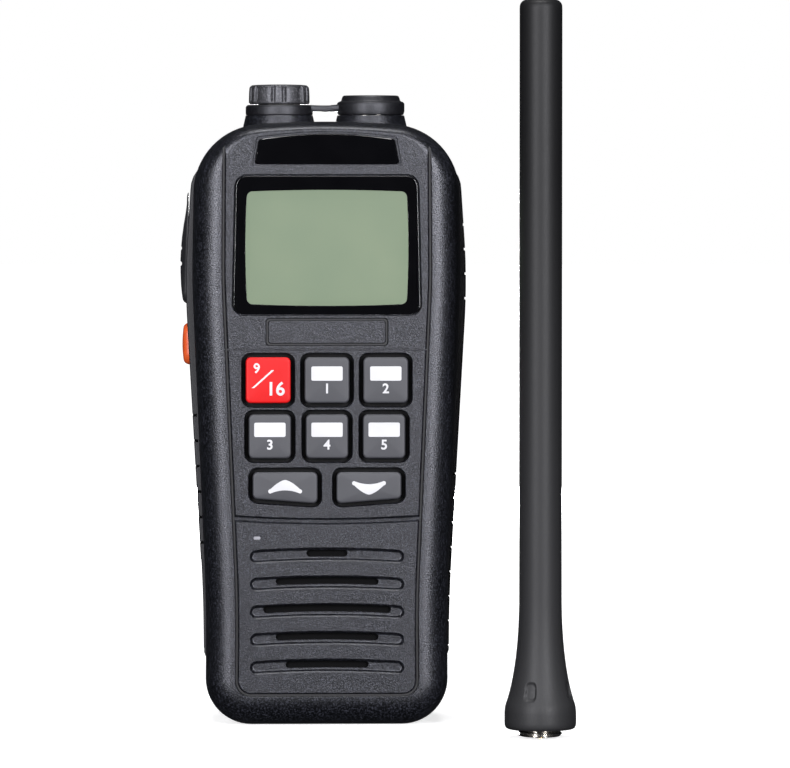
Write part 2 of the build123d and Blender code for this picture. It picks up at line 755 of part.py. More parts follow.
def side_board_x():
    """Outer face of the side board: behind the deeper of the two switches."""
    travels = ((TALK_Z, TALK_TRAVEL), (ALERT_Z, ALERT_TRAVEL))
    outer = max(side_lip_x(z) + travel for z, travel in travels) + LIP_THICK + SEAT_GAP
    return outer + SWITCH_THICK


def side_board():
    """Upright board that carries the two side switches, standing on the bay floor."""
    x = side_board_x()
    board = block(
        (x, x + SIDE_BOARD_THICK), (SIDE_BOARD_Y, BAY_Y - WALL), (SIDE_BOARD_LOW_Z, SIDE_BOARD_HIGH_Z)
    )
    return board


def key(x, z, size, side):
    """Rubber key with a flange that stays behind the face and a stem over its dome."""
    outline = Pos(x, z) * key_outline(size, side)
    flange_y = FACE_Y + FACE_WALL + SEAT_GAP / 2
    cap = slab(outline, FACE_Y - KEY_PROUD, flange_y)
    cap = fillet(cap.faces().sort_by(Axis.Y)[0].edges(), KEY_EDGE)
    flange = slab(Pos(x, z) * key_outline(size, side, KEY_FLANGE), flange_y, flange_y + KEY_FLANGE_THICK)
    stem = rod(x, z, flange_y, LEDGE_Y - DOME_THICK - SEAT_GAP - KEY_TRAVEL, KEY_STEM_R)
    return cap + flange + stem


def key_domes():
    """Snap domes on the main board, one behind each key."""
    domes = []
    for name, x, z, size, side in key_places():
        dome = rod(x, z, LEDGE_Y - DOME_THICK, LEDGE_Y, DOME_R)
        domes.append(chamfer(dome.faces().sort_by(Axis.Y)[0].edges(), DOME_THICK / 2))
    return domes


def keypad_sheet():
    """Rubber sheet between keys and board, on a rim, with a hole for each stem."""
    low = BOARD_LOW_Z
    high = DIVIDER_Z - 0.5
    front = FACE_Y + FACE_WALL + SEAT_GAP / 2 + KEY_FLANGE_THICK + KEY_TRAVEL + SEAT_GAP
    sheet = block((-MEMBRANE_HALF, MEMBRANE_HALF), (front, LEDGE_Y), (low, high))
    inner = MEMBRANE_HALF - MEMBRANE_RIM
    sheet -= block(
        (-inner, inner), (front + MEMBRANE_THICK, LEDGE_Y + 1), (low + MEMBRANE_RIM, high - MEMBRANE_RIM)
    )
    for name, x, z, size, side in key_places():
        sheet -= rod(x, z, front - 1, LEDGE_Y, STEM_HOLE_R)
    return sheet


def display_window():
    """Gloss window, flush in its recess over the display."""
    pane = slab(window_outline(), FACE_Y, FACE_Y + WINDOW_THICK)
    return chamfer(pane.faces().sort_by(Axis.Y)[0].edges(), PLATE_MARGIN / 2)


def name_plate():
    """Bare gloss plate above the window."""
    return slab(plate_outline(), FACE_Y, FACE_Y + PLATE_THICK)


def display_size():
    """Width and height of the display glass."""
    return (VIEW_WIDTH + 2 * LCD_MARGIN, VIEW_HEIGHT + 2 * LCD_MARGIN)


def display_panel():
    """Liquid-crystal glass behind the window."""
    front = FACE_Y + FACE_WALL + SEAT_GAP
    width, height = display_size()
    glass = Pos(0, VIEW_Z) * Rectangle(width, height)
    return slab(glass, front, front + LCD_THICK)


def display_light():
    """Light guide between the glass and the main board."""
    front = FACE_Y + FACE_WALL + SEAT_GAP + LCD_THICK
    width, height = display_size()
    guide = Pos(0, VIEW_Z) * RectangleRounded(width - 1, height - 1, VIEW_CORNER)
    return slab(guide, front, LEDGE_Y)


def main_board():
    """Circuit board that rests on the ledge inside the front shell."""
    inset = WALL + BOARD_GAP
    board = slab(case_outline(inset, inset), LEDGE_Y, LEDGE_Y + BOARD_THICK) & above(BOARD_LOW_Z)
    for x, z in screw_places():
        board -= rod(x, z, LEDGE_Y - 1, LEDGE_Y + BOARD_THICK + 1, BOSS_R + BOARD_GAP)
        if z > BOARD_LOW_Z:
            corner = (SHOULDER_Z + HIP_HALF, z - BOSS_R - BOARD_GAP, z + BOSS_R + BOARD_GAP)
            spans = sorted((x, x + (corner[0] if x > 0 else -corner[0])))
            board -= block(spans, (LEDGE_Y - 1, LEDGE_Y + BOARD_THICK + 1), corner[1:])
    return board


def shield_can():
    """Open tinplate can over the radio circuits on the back of the board."""
    front = LEDGE_Y + BOARD_THICK
    width, height = SHIELD_SIZE
    can = slab(Pos(0, SHIELD_Z) * Rectangle(width, height), front, front + SHIELD_HEIGHT)
    room = Rectangle(width - 2 * SHIELD_WALL, height - 2 * SHIELD_WALL)
    return can - slab(Pos(0, SHIELD_Z) * room, front - 1, front + SHIELD_HEIGHT - SHIELD_WALL)


def speaker_cloth():
    """Water-shedding cloth over the grille slots."""
    inner = FACE_Y + FACE_WALL
    return rod(0, SPEAKER_Z, inner, inner + CLOTH_THICK, SPEAKER_R)


def speaker_foam():
    """Foam ring that seals the loudspeaker to the face."""
    front = FACE_Y + FACE_WALL + CLOTH_THICK
    ring = rod(0, SPEAKER_Z, front, front + FOAM_THICK, SPEAKER_R)
    return ring - rod(0, SPEAKER_Z, front - 1, front + FOAM_THICK + 1, SPEAKER_R - FOAM_WIDTH)


def speaker_basket_front():
    """Depth of the loudspeaker's front rim."""
    return FACE_Y + FACE_WALL + CLOTH_THICK + FOAM_THICK


def speaker_basket():
    """Steel basket of the loudspeaker, a rim and a cone-shaped wall."""
    front = speaker_basket_front()
    rim_back = front + BASKET_RIM
    back = front + BASKET_DEPTH
    profile = Polyline(
        (SPEAKER_R, front),
        (SPEAKER_R, rim_back),
        (SPEAKER_R - FOAM_WIDTH, rim_back),
        (BASKET_BACK_R, back),
        (MAGNET_R / 2, back),
        (MAGNET_R / 2, back - BASKET_RIM),
        (BASKET_BACK_R - BASKET_RIM, back - BASKET_RIM),
        (SPEAKER_R - FOAM_WIDTH, front),
        close=True,
    )
    return turned_along_depth(profile, SPEAKER_Z)


def turned_along_depth(profile, z):
    """Solid of revolution about a depth axis; the profile is drawn as (radius, depth)."""
    turned = revolve(make_face(profile), Axis.Y)
    return Pos(0, 0, z) * turned


def speaker_cone():
    """Paper cone with its dust cap, inside the basket."""
    front = speaker_basket_front()
    back = front + BASKET_DEPTH - BASKET_RIM
    profile = Polyline(
        (SPEAKER_R - FOAM_WIDTH - SEAT_GAP - CONE_THICK, front),
        (SPEAKER_R - FOAM_WIDTH - SEAT_GAP, front),
        (BASKET_BACK_R - BASKET_RIM - SEAT_GAP, back - SEAT_GAP),
        (0, back - SEAT_GAP),
        (0, back - SEAT_GAP - CONE_THICK),
        (BASKET_BACK_R - BASKET_RIM - SEAT_GAP - CONE_THICK, back - SEAT_GAP - CONE_THICK),
        close=True,
    )
    return turned_along_depth(profile, SPEAKER_Z)


def speaker_magnet():
    """Magnet pot on the back of the basket."""
    front = speaker_basket_front() + BASKET_DEPTH
    magnet = rod(0, SPEAKER_Z, front, front + MAGNET_THICK, MAGNET_R)
    return chamfer(magnet.faces().sort_by(Axis.Y)[-1].edges(), MAGNET_THICK / 8)


def microphone():
    """Microphone capsule against the inside of the face."""
    front = FACE_Y + FACE_WALL
    return rod(MIC_X, MIC_Z, front, front + MIC_LENGTH, MIC_R)


def shell_screws():
    """Four screws that hold the two halves of the case together."""
    screws = []
    for x, z in screw_places():
        shank = rod(x, z, SCREW_SEAT_Y - SCREW_TIP - (SCREW_SEAT_Y - PARTING_Y), SCREW_SEAT_Y, SCREW_R)
        head = rod(x, z, SCREW_SEAT_Y, SCREW_SEAT_Y + SCREW_HEAD, SCREW_HEAD_R)
        slot_y = (SCREW_SEAT_Y + SCREW_HEAD / 2, SCREW_SEAT_Y + SCREW_HEAD + 1)
        long_x = (x - SCREW_HEAD_R / 2, x + SCREW_HEAD_R / 2)
        long_z = (z - SCREW_HEAD_R / 2, z + SCREW_HEAD_R / 2)
        across = block(long_x, slot_y, (z - SCREW_CROSS / 2, z + SCREW_CROSS / 2))
        upright = block((x - SCREW_CROSS / 2, x + SCREW_CROSS / 2), slot_y, long_z)
        screws.append(shank + head - across - upright)
    return screws


def volume_switch():
    """Rotary switch under the top wall, with the bush that the knob's shaft turns in."""
    width, depth, height = SWITCH_BODY
    body = Pos(KNOB_X, TOP_Y, SWITCH_TOP_Z - height / 2) * Box(width, depth, height)
    body += post(KNOB_X, TOP_Y, SWITCH_TOP_Z, SWITCH_TOP_Z + SWITCH_COLLAR, SWITCH_COLLAR_R)
    body += post(KNOB_X, TOP_Y, SWITCH_TOP_Z, COLLAR_TOP_Z + NUT_THICK, BUSH_R)
    return body - post(KNOB_X, TOP_Y, SWITCH_TOP_Z - height / 2, KNOB_TOP_Z, SHAFT_R + SEAT_GAP)


def switch_nut():
    """Hexagon nut on the bush, on top of its post."""
    low = COLLAR_TOP_Z - SEAT_GAP
    nut = Pos(KNOB_X, TOP_Y, low) * extrude(RegularPolygon(NUT_FLATS / 2, 6, major_radius=False), NUT_THICK)
    return nut - post(KNOB_X, TOP_Y, low - 1, low + NUT_THICK + 1, BUSH_R + SEAT_GAP / 2)


def knob_shaft():
    """Shaft of the rotary switch, flatted where the knob grips it."""
    low = SWITCH_TOP_Z - SWITCH_BODY[2] / 2 + SEAT_GAP
    shaft = post(KNOB_X, TOP_Y, low, SHAFT_TOP_Z, SHAFT_R)
    flat_y = TOP_Y + SHAFT_R / 2
    flat_low = COLLAR_TOP_Z + NUT_THICK + SEAT_GAP
    wide = (KNOB_X - KNOB_R, KNOB_X + KNOB_R)
    return shaft - block(wide, (flat_y, flat_y + KNOB_R), (flat_low, KNOB_TOP_Z))


def volume_knob():
    """Fluted knob with a domed top, hollow underneath to clear the nut."""
    knob = post(KNOB_X, TOP_Y, KNOB_LOW_Z, KNOB_TOP_Z, KNOB_R)
    knob = fillet(knob.faces().sort_by(Axis.Z)[-1].edges(), KNOB_DOME)
    for place in PolarLocations(KNOB_R + FLUTE_R - FLUTE_DEPTH, KNOB_FLUTES):
        flute = Pos(0, 0, (KNOB_LOW_Z + KNOB_TOP_Z) / 2) * Cylinder(FLUTE_R, KNOB_TOP_Z - KNOB_LOW_Z + 2)
        knob -= Pos(KNOB_X, TOP_Y, 0) * place * flute
    hollow_top = COLLAR_TOP_Z + NUT_THICK + RUN_GAP
    knob -= post(KNOB_X, TOP_Y, KNOB_LOW_Z - 1, hollow_top, NUT_FLATS / 2 / cos(radians(30)) + RUN_GAP)
    flat_y = TOP_Y + SHAFT_R / 2
    socket = post(KNOB_X, TOP_Y, KNOB_LOW_Z, SHAFT_TOP_Z, SHAFT_R)
    wide = (KNOB_X - KNOB_R, KNOB_X + KNOB_R)
    socket -= block(wide, (flat_y, flat_y + KNOB_R), (KNOB_LOW_Z - 1, KNOB_TOP_Z))
    return knob - socket


def cap_tether():
    """Rubber collar around the knob's post with the strap that reaches to the socket cap."""
    collar = post(KNOB_X, TOP_Y, BOSS_TOP_Z, COLLAR_TOP_Z, COLLAR_R)
    strap_top = COLLAR_TOP_Z - SEAT_GAP
    strap_end = CAP_HINGE_X - HINGE_R - SLIDE_GAP
    half = STRAP_WIDTH / 2
    strap = block((KNOB_X, strap_end), (TOP_Y - half, TOP_Y + half), (strap_top - STRAP_THICK, strap_top))
    return collar + strap - post(KNOB_X, TOP_Y, BOSS_TOP_Z - 1, COLLAR_TOP_Z + 1, POST_R + SEAT_GAP)


def socket_cap():
    """Rubber cap over the socket: disc, skirt around the flange and the lug that the strap bends at."""
    skirt_low = BOSS_TOP_Z + SOCKET_FLANGE - CAP_SKIRT
    disc = post(SOCKET_X, TOP_Y, skirt_low, CAP_TOP_Z, CAP_R)
    disc = chamfer(disc.faces().sort_by(Axis.Z)[-1].edges(), CAP_BEVEL)
    disc -= post(SOCKET_X, TOP_Y, skirt_low - 1, CAP_LOW_Z, SOCKET_FLANGE_R + CAP_SKIRT_GAP)
    half = STRAP_WIDTH / 2
    lug_z = (CAP_HINGE_Z - HINGE_R, CAP_HINGE_Z + HINGE_R)
    lug = block((CAP_HINGE_X, SOCKET_X), (TOP_Y - half, TOP_Y + half), lug_z)
    knuckle = Pos(CAP_HINGE_X, TOP_Y, CAP_HINGE_Z) * Rot(90, 0, 0) * Cylinder(HINGE_R, STRAP_WIDTH)
    return disc + lug + knuckle


def antenna_socket():
    """Plated socket that the antenna's stud screws into."""
    top = BOSS_TOP_Z + SOCKET_FLANGE
    body = post(SOCKET_X, TOP_Y, SOCKET_LOW_Z, top, SOCKET_R)
    body += post(SOCKET_X, TOP_Y, BOSS_TOP_Z, top, SOCKET_FLANGE_R)
    body -= post(SOCKET_X, TOP_Y, SOCKET_FLOOR_Z, top + 1, THREAD_R + THREAD_GAP)
    body -= post(SOCKET_X, TOP_Y, SOCKET_FLOOR_Z - INSULATOR_THICK, SOCKET_FLOOR_Z + 1, INSULATOR_R)
    return body - post(SOCKET_X, TOP_Y, SOCKET_LOW_Z - 1, SOCKET_FLOOR_Z + 1, CONTACT_R + SEAT_GAP)


def socket_insulator():
    """White insulating disc at the bottom of the socket."""
    low = SOCKET_FLOOR_Z - INSULATOR_THICK
    disc = post(SOCKET_X, TOP_Y, low, SOCKET_FLOOR_Z, INSULATOR_R)
    return disc - post(SOCKET_X, TOP_Y, low - 1, SOCKET_FLOOR_Z + 1, CONTACT_R)


def socket_contact():
    """Centre contact: a sleeve for the antenna's pin, with a solder tail."""
    sleeve = post(SOCKET_X, TOP_Y, SOCKET_LOW_Z + 1, SOCKET_FLOOR_Z, CONTACT_R)
    sleeve -= post(SOCKET_X, TOP_Y, SOCKET_FLOOR_Z - CONTACT_BORE, SOCKET_FLOOR_Z + 1, CONTACT_BORE_R)
    return sleeve + post(SOCKET_X, TOP_Y, CONTACT_LOW_Z, SOCKET_LOW_Z + 1, CONTACT_TAIL_R)


def lock_insert():
    """Brass insert in the bay floor that the pack's lock screw enters."""
    sleeve = rod(0, LOCK_Z, BAY_Y - INSERT_LENGTH, BAY_Y, INSERT_R)
    return sleeve - rod(0, LOCK_Z, BAY_Y - INSERT_LENGTH - 1, BAY_Y + 1, LOCK_SHANK_R + SLIDE_GAP)


def terminal_pins():
    """Spring pins that touch the battery's pads."""
    pins = []
    for x in (-TERMINAL_X, 0, TERMINAL_X):
        barrel = rod(x, TERMINAL_Z, TERMINAL_LOW_Y, BAY_Y, TERMINAL_R)
        tip = rod(x, TERMINAL_Z, BAY_Y, BAY_Y + SEAT_GAP, TERMINAL_R / 2)
        pins.append(barrel + tip)
    return pins


def terminal_seal():
    """Rubber frame around the terminals, in its groove in the bay floor."""
    return terminal_seal_ring(SEAT_GAP, BAY_Y - FRAME_SEAL_DEPTH, BAY_Y + SEAT_GAP)


def pack_front():
    """Depth at which the battery pack begins."""
    return BAY_Y + SLIDE_GAP


def pack_outline(inset):
    """Outline of the battery pack, in line with the head of the rear shell."""
    return case_outline(HEAD_INSET + inset, HEAD_INSET + inset)


def battery_case():
    """Moulded pack: a tub that is open towards the handset."""
    top = PACK_TOP_Z - PACK_GAP
    case = case_back() & below(top) & block((-HIP_HALF, HIP_HALF), (pack_front(), BACK_Y), (0, CROWN_Z))
    room = slab(pack_outline(PACK_WALL), pack_front() - 1, BACK_Y - PACK_WALL)
    case -= room & below(top - PACK_WALL)
    pocket_r = LOCK_HEAD_R + LOCK_POCKET_WALL
    case += rod(0, LOCK_Z, pack_front() + COVER_THICK, BACK_Y - PACK_WALL / 2, pocket_r)
    head_seat = BACK_Y - LOCK_HEAD - RUN_GAP
    case -= rod(0, LOCK_Z, head_seat, BACK_Y + 1, LOCK_HEAD_R + RUN_GAP)
    case -= rod(0, LOCK_Z, pack_front() - 1, head_seat + 1, LOCK_SHANK_R + SLIDE_GAP)
    for side in (-1, 1):
        stud_seat = BACK_Y - CHARGE_THICK - SEAT_GAP
        case -= rod(side * CHARGE_X, CHARGE_Z, stud_seat, BACK_Y + 1, CHARGE_R + SEAT_GAP)
        screw_x = side * CLIP_SCREW_X
        case -= rod(screw_x, CLIP_SCREW_Z, BACK_Y - PACK_WALL - 1, BACK_Y + 1, CLIP_SCREW_R + SEAT_GAP)
    return case


def battery_cover():
    """Flat cover of the pack towards the handset, with two locating pegs."""
    front = pack_front()
    inset = PACK_WALL + SEAT_GAP
    cover = slab(pack_outline(inset), front, front + COVER_THICK)
    cover = cover & below(PACK_TOP_Z - PACK_GAP - inset)
    for side in (-1, 1):
        cover += rod(side * PEG_X, PEG_Z, front - PEG_LENGTH, front + COVER_THICK / 2, PEG_R)
    cover -= rod(0, LOCK_Z, front - 1, front + COVER_THICK + 1, LOCK_SHANK_R + SLIDE_GAP)
    width, height = PAD_SIZE
    for x in (-TERMINAL_X, 0, TERMINAL_X):
        pocket = Pos(x, TERMINAL_Z) * Rectangle(width + SEAT_GAP, height + SEAT_GAP)
        cover -= slab(pocket, front - 1, front + PAD_THICK)
    return cover


def battery_pads():
    """Plated pads on the pack's cover."""
    front = pack_front()
    pads = []
    for x in (-TERMINAL_X, 0, TERMINAL_X):
        pads.append(slab(Pos(x, TERMINAL_Z) * Rectangle(*PAD_SIZE), front, front + PAD_THICK))
    return pads


def battery_cells():
    """Two flat lithium cells side by side in the pack."""
    front = pack_front() + COVER_THICK + SEAT_GAP
    back = BACK_Y - PACK_WALL - SEAT_GAP
    width, height = CELL_SIZE
    cells = []
    for side in (-1, 1):
        middle = (side * (width + CELL_GAP) / 2, CELL_LOW_Z + height / 2)
        outline = Pos(*middle) * RectangleRounded(width, height, CELL_CORNER)
        cells.append(slab(outline, front, back))
    return cells


def charge_contacts():
    """Two studs on the back of the pack for the charging stand."""
    studs = []
    for side in (-1, 1):
        studs.append(rod(side * CHARGE_X, CHARGE_Z, BACK_Y - CHARGE_THICK, BACK_Y, CHARGE_R))
    return studs


def lock_screw():
    """Quarter-turn screw with a coin slot that holds the pack."""
    seat = BACK_Y - LOCK_HEAD - RUN_GAP + SEAT_GAP
    head = rod(0, LOCK_Z, seat, seat + LOCK_HEAD, LOCK_HEAD_R)
    head = chamfer(head.faces().sort_by(Axis.Y)[-1].edges(), LOCK_EDGE)
    shank = rod(0, LOCK_Z, BAY_Y - INSERT_LENGTH + 1, seat + 1, LOCK_SHANK_R)
    slot = block(
        (-LOCK_HEAD_R + LOCK_SLOT_EDGE, LOCK_HEAD_R - LOCK_SLOT_EDGE),
        (seat + LOCK_HEAD - LOCK_SLOT_DEPTH, seat + LOCK_HEAD + 1),
        (LOCK_Z - LOCK_SLOT / 2, LOCK_Z + LOCK_SLOT / 2),
    )
    return head + shank - slot


def clip_bracket():
    """Steel plate on the back of the pack with two ears for the clip's pin."""
    half = BRACKET_WIDTH / 2
    middle = (BRACKET_LOW_Z + BRACKET_HIGH_Z) / 2
    outline = Pos(0, middle) * RectangleRounded(BRACKET_WIDTH, BRACKET_HIGH_Z - BRACKET_LOW_Z, CLIP_CORNER)
    bracket = slab(outline, BACK_Y, BACK_Y + BRACKET_THICK)
    for side in (-1, 1):
        span = sorted((side * half, side * (half - EAR_THICK)))
        ear = bar(span[0], span[1], HINGE_Y, HINGE_Z, EAR_R)
        ear += block(span, (BACK_Y + BRACKET_THICK / 2, HINGE_Y), (HINGE_Z - EAR_R, HINGE_Z + EAR_R))
        bracket += ear
        screw_x = side * CLIP_SCREW_X
        bracket -= rod(screw_x, CLIP_SCREW_Z, BACK_Y - 1, BACK_Y + BRACKET_THICK + 1, CLIP_SCREW_R + SEAT_GAP)
    return bracket - bar(-half - 1, half + 1, HINGE_Y, HINGE_Z, PIN_R + SEAT_GAP / 2)


def clip_screws():
    """Two screws that hold the bracket on the pack."""
    seat = BACK_Y + BRACKET_THICK
    screws = []
    for side in (-1, 1):
        x = side * CLIP_SCREW_X
        screw = rod(x, CLIP_SCREW_Z, BACK_Y - PACK_WALL + SEAT_GAP, seat, CLIP_SCREW_R)
        screw += rod(x, CLIP_SCREW_Z, seat, seat + CLIP_SCREW_HEAD, CLIP_SCREW_HEAD_R)
        screws.append(screw)
    return screws


def belt_clip():
    """Springy leaf with a rounded foot that presses on the pack, and two ears inside the bracket's."""
    low = CLIP_LOW_Z
    outer = CLIP_Y + CLIP_THICK
    foot_y = BACK_Y + RUN_GAP
    profile = [
        (CLIP_Y, CLIP_TOP_Z),
        (CLIP_Y, low + 2 * CLIP_FOOT),
        (foot_y, low + CLIP_FOOT),
        (foot_y, low + CLIP_FOOT / 2),
        (CLIP_Y, low),
        (outer, low),
        (outer, CLIP_TOP_Z),
    ]
    plane = Plane(origin=(-CLIP_WIDTH / 2, 0, 0), x_dir=(0, 1, 0), z_dir=(1, 0, 0))
    leaf = extrude(plane * make_face(Polyline(*profile, close=True)), amount=CLIP_WIDTH)
    leaf = fillet(leaf.faces().sort_by(Axis.Y)[-1].edges(), CLIP_EDGE)
    ear_out = BRACKET_WIDTH / 2 - EAR_THICK - SLIDE_GAP
    ear_out = min(ear_out, CLIP_WIDTH / 2)
    for side in (-1, 1):
        span = sorted((side * ear_out, side * (ear_out - EAR_THICK)))
        leaf += bar(span[0], span[1], HINGE_Y, HINGE_Z, EAR_R)
        leaf += block(span, (HINGE_Y, CLIP_Y + CLIP_THICK / 2), (HINGE_Z - EAR_R, HINGE_Z + EAR_R))
    return leaf - bar(-BRACKET_WIDTH, BRACKET_WIDTH, HINGE_Y, HINGE_Z, PIN_R + SEAT_GAP / 2)


def clip_pin():
    """Hinge pin of the clip."""
    return bar(-BRACKET_WIDTH / 2, BRACKET_WIDTH / 2, HINGE_Y, HINGE_Z, PIN_R)


def clip_spring():
    """Coil spring around the pin, drawn as closed turns."""
    pitch = COIL_LENGTH / COIL_TURNS
    points = [(COIL_INNER_R, 0)]
    for turn in range(COIL_TURNS):
        points.append((COIL_R - pitch / 3, turn * pitch))
        points.append((COIL_R, (turn + 0.5) * pitch))
    points.append((COIL_R - pitch / 3, COIL_LENGTH))
    points.append((COIL_INNER_R, COIL_LENGTH))
    coil = revolve(make_face(Polyline(*[(r, h) for r, h in points], close=True)), Axis.Y)
    coil = Rot(0, 0, 90) * coil
    return Pos(COIL_LENGTH / 2, HINGE_Y, HINGE_Z) * coil


def at_antenna(solid):
    """Move a solid turned about the Z axis to the antenna's place."""
    return Pos(ANTENNA_X, ANTENNA_Y, 0) * solid


def turned_upright(profile):
    """Solid of revolution about Z; the profile is drawn as (radius, height)."""
    upright = Plane.XZ * make_face(profile)
    return revolve(upright, Axis.Z)


def antenna_sheath():
    """Rubber sheath: straight rod, flared foot and a short skirt that is gripped to screw it in."""
    skirt_top = SHEATH_LOW_Z + SKIRT_HEIGHT
    with BuildLine() as edge:
        Polyline((0, SHEATH_LOW_Z), (SKIRT_R, SHEATH_LOW_Z), (SKIRT_R, skirt_top))
        Spline(
            (SKIRT_R, skirt_top),
            (FLARE_MID_R, FLARE_MID_Z),
            (SHEATH_R, FLARE_TOP_Z),
            tangents=[(-FLARE_LEAN, 1), (0, 1)],
        )
        Line((SHEATH_R, FLARE_TOP_Z), (SHEATH_R, ANTENNA_TOP_Z - TIP_ROUND))
        RadiusArc((SHEATH_R, ANTENNA_TOP_Z - TIP_ROUND), (SHEATH_R - TIP_ROUND, ANTENNA_TOP_Z), -TIP_ROUND)
        Polyline((SHEATH_R - TIP_ROUND, ANTENNA_TOP_Z), (0, ANTENNA_TOP_Z), (0, SHEATH_LOW_Z))
    sheath = turned_upright(edge.line)
    sheath -= post(0, 0, SHEATH_LOW_Z - 1, SHEATH_LOW_Z + STUD_SHANK, THREAD_R)
    sheath -= post(0, 0, SHEATH_LOW_Z, CORE_TOP_Z, CORE_R)
    for step in range(SKIRT_DIMPLES):
        turn = DIMPLE_TURN - 90 + step * 360 / SKIRT_DIMPLES
        dimple = Pos(DIMPLE_PLACE_R, 0, DIMPLE_Z) * scale(Sphere(1), by=DIMPLE_RADII)
        sheath -= Rot(0, 0, turn) * dimple
    return at_antenna(sheath)


def antenna_stud():
    """Plated stud with its thread drawn as crests, hollow for the insulator."""
    points = [(ANT_INSULATOR_R, STUD_LOW_Z)]
    crests = int((SHEATH_LOW_Z - STUD_LOW_Z) / STUD_PITCH)
    for crest in range(crests):
        z = STUD_LOW_Z + crest * STUD_PITCH
        points.append((THREAD_R - STUD_CREST, z))
        points.append((THREAD_R, z + STUD_PITCH / 2))
    points.append((THREAD_R - STUD_CREST, STUD_LOW_Z + crests * STUD_PITCH))
    points.append((THREAD_R, SHEATH_LOW_Z))
    points.append((THREAD_R, SHEATH_LOW_Z + STUD_SHANK))
    points.append((ANT_INSULATOR_R, SHEATH_LOW_Z + STUD_SHANK))
    return at_antenna(turned_upright(Polyline(*points, close=True)))


def antenna_insulator():
    """White bush between stud and pin."""
    bush = post(0, 0, STUD_LOW_Z + SEAT_GAP, SHEATH_LOW_Z + STUD_SHANK, ANT_INSULATOR_R)
    return at_antenna(bush - post(0, 0, 0, SHEATH_LOW_Z + STUD_SHANK + 1, ANT_PIN_R))


def antenna_pin():
    """Centre pin; its tip is what the standing antenna rests on."""
    return at_antenna(post(0, 0, 0, SHEATH_LOW_Z + STUD_SHANK, ANT_PIN_R))


def antenna_core():
    """Fibreglass core of the antenna."""
    return at_antenna(post(0, 0, SHEATH_LOW_Z + STUD_SHANK, CORE_TOP_Z, CORE_R))


def save(name, shape):
    """Write one node; a list is written as a group of separate solids."""
    solids = shape if isinstance(shape, list) else [shape]
    flat = [solid for item in solids for solid in item.solids()]
    export_step(Compound(children=flat) if len(flat) > 1 else flat[0], f"parts/{name}.step")


def main():
    os.makedirs("parts", exist_ok=True)
    save("front_shell", front_shell())
    save("rear_shell", rear_shell())
    save("right_grip", side_grip(1))
    save("left_grip", side_grip(-1))
    for name, x, z, size, side in key_places():
        save(name, key(x, z, size, side))
    save("talk_button", talk_button())
    save("alert_button", alert_button())
    for piece in (
        shell_seal, side_board, side_switches, key_domes, keypad_sheet, display_window, name_plate,
        display_panel, display_light, main_board, shield_can, speaker_cloth, speaker_foam,
        speaker_basket, speaker_cone, speaker_magnet, microphone, shell_screws, volume_switch,
        switch_nut, knob_shaft, volume_knob, cap_tether, socket_cap, antenna_socket,
        socket_insulator, socket_contact, lock_insert, terminal_pins, terminal_seal, battery_case,
        battery_cover, battery_pads, battery_cells, charge_contacts, lock_screw, clip_bracket,
        clip_screws, belt_clip, clip_pin, clip_spring, antenna_sheath, antenna_stud,
        antenna_insulator, antenna_pin, antenna_core,
    ):
        save(piece.__name__, piece())


main()
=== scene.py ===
# Looks of a marine handset and its loose antenna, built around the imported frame.
# Pieces are modelled in millimetres and brought to metres when they are settled.

import json
from math import acos, atan2, ceil, cos, degrees, hypot, pi, radians, sin, sqrt

import bmesh
import bpy
from mathutils import Matrix, Vector


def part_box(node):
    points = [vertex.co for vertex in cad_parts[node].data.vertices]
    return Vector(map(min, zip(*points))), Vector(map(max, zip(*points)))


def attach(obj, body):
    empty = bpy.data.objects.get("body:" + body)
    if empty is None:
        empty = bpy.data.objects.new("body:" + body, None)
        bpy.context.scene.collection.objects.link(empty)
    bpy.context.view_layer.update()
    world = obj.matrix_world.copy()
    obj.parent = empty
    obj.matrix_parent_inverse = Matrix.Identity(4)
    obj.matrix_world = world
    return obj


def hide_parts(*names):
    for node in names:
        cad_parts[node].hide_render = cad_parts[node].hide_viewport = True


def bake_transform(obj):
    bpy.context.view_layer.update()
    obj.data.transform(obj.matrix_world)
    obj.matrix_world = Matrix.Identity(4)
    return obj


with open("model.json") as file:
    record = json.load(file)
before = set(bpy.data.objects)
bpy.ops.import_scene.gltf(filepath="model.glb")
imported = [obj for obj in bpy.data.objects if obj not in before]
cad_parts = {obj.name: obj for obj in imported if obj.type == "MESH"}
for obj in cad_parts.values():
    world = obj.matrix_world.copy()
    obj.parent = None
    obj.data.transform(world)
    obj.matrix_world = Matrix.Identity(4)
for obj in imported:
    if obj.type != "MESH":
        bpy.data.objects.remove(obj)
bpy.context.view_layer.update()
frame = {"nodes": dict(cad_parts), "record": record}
nodes = frame["nodes"]
MM = 0.001

# Case outline, as half widths at heights, and radii between them.
CROWN_Z = 131.5
CROWN_ARCH = 2.2
SHOULDER_Z = CROWN_Z - CROWN_ARCH
SHOULDER_HALF = 28.9
SHOULDER_R = 15.0
HIP_HALF = 31.0
HIP_Z = 97.0
HIP_R = 150.0
KNEE_HALF = 27.1
KNEE_Z = 27.0
KNEE_R = 300.0
FOOT_HALF = 26.9
FOOT_R = 10.0
GRIP_STEP_FOOT = 0.4
GRIP_STEP_HIP = 1.7
GRIP_STEP_SHOULDER = 0.15

# Depths.
FACE_Y = -19.0
PARTING_Y = -5.0
BAY_Y = 7.0
BACK_Y = 18.5
LEDGE_Y = -14.0
RAIL_WIDTH = 6.4
RAIL_DEPTH = 6.0
TOP_ROUND = 2.0
WALL = 2.0
FACE_WALL = 2.0
RAIL_WALL = 5.0
SEAT_GAP = 0.1
RUN_GAP = 0.3
BURST = 0.3  # how far a cutter stands out of what it cuts

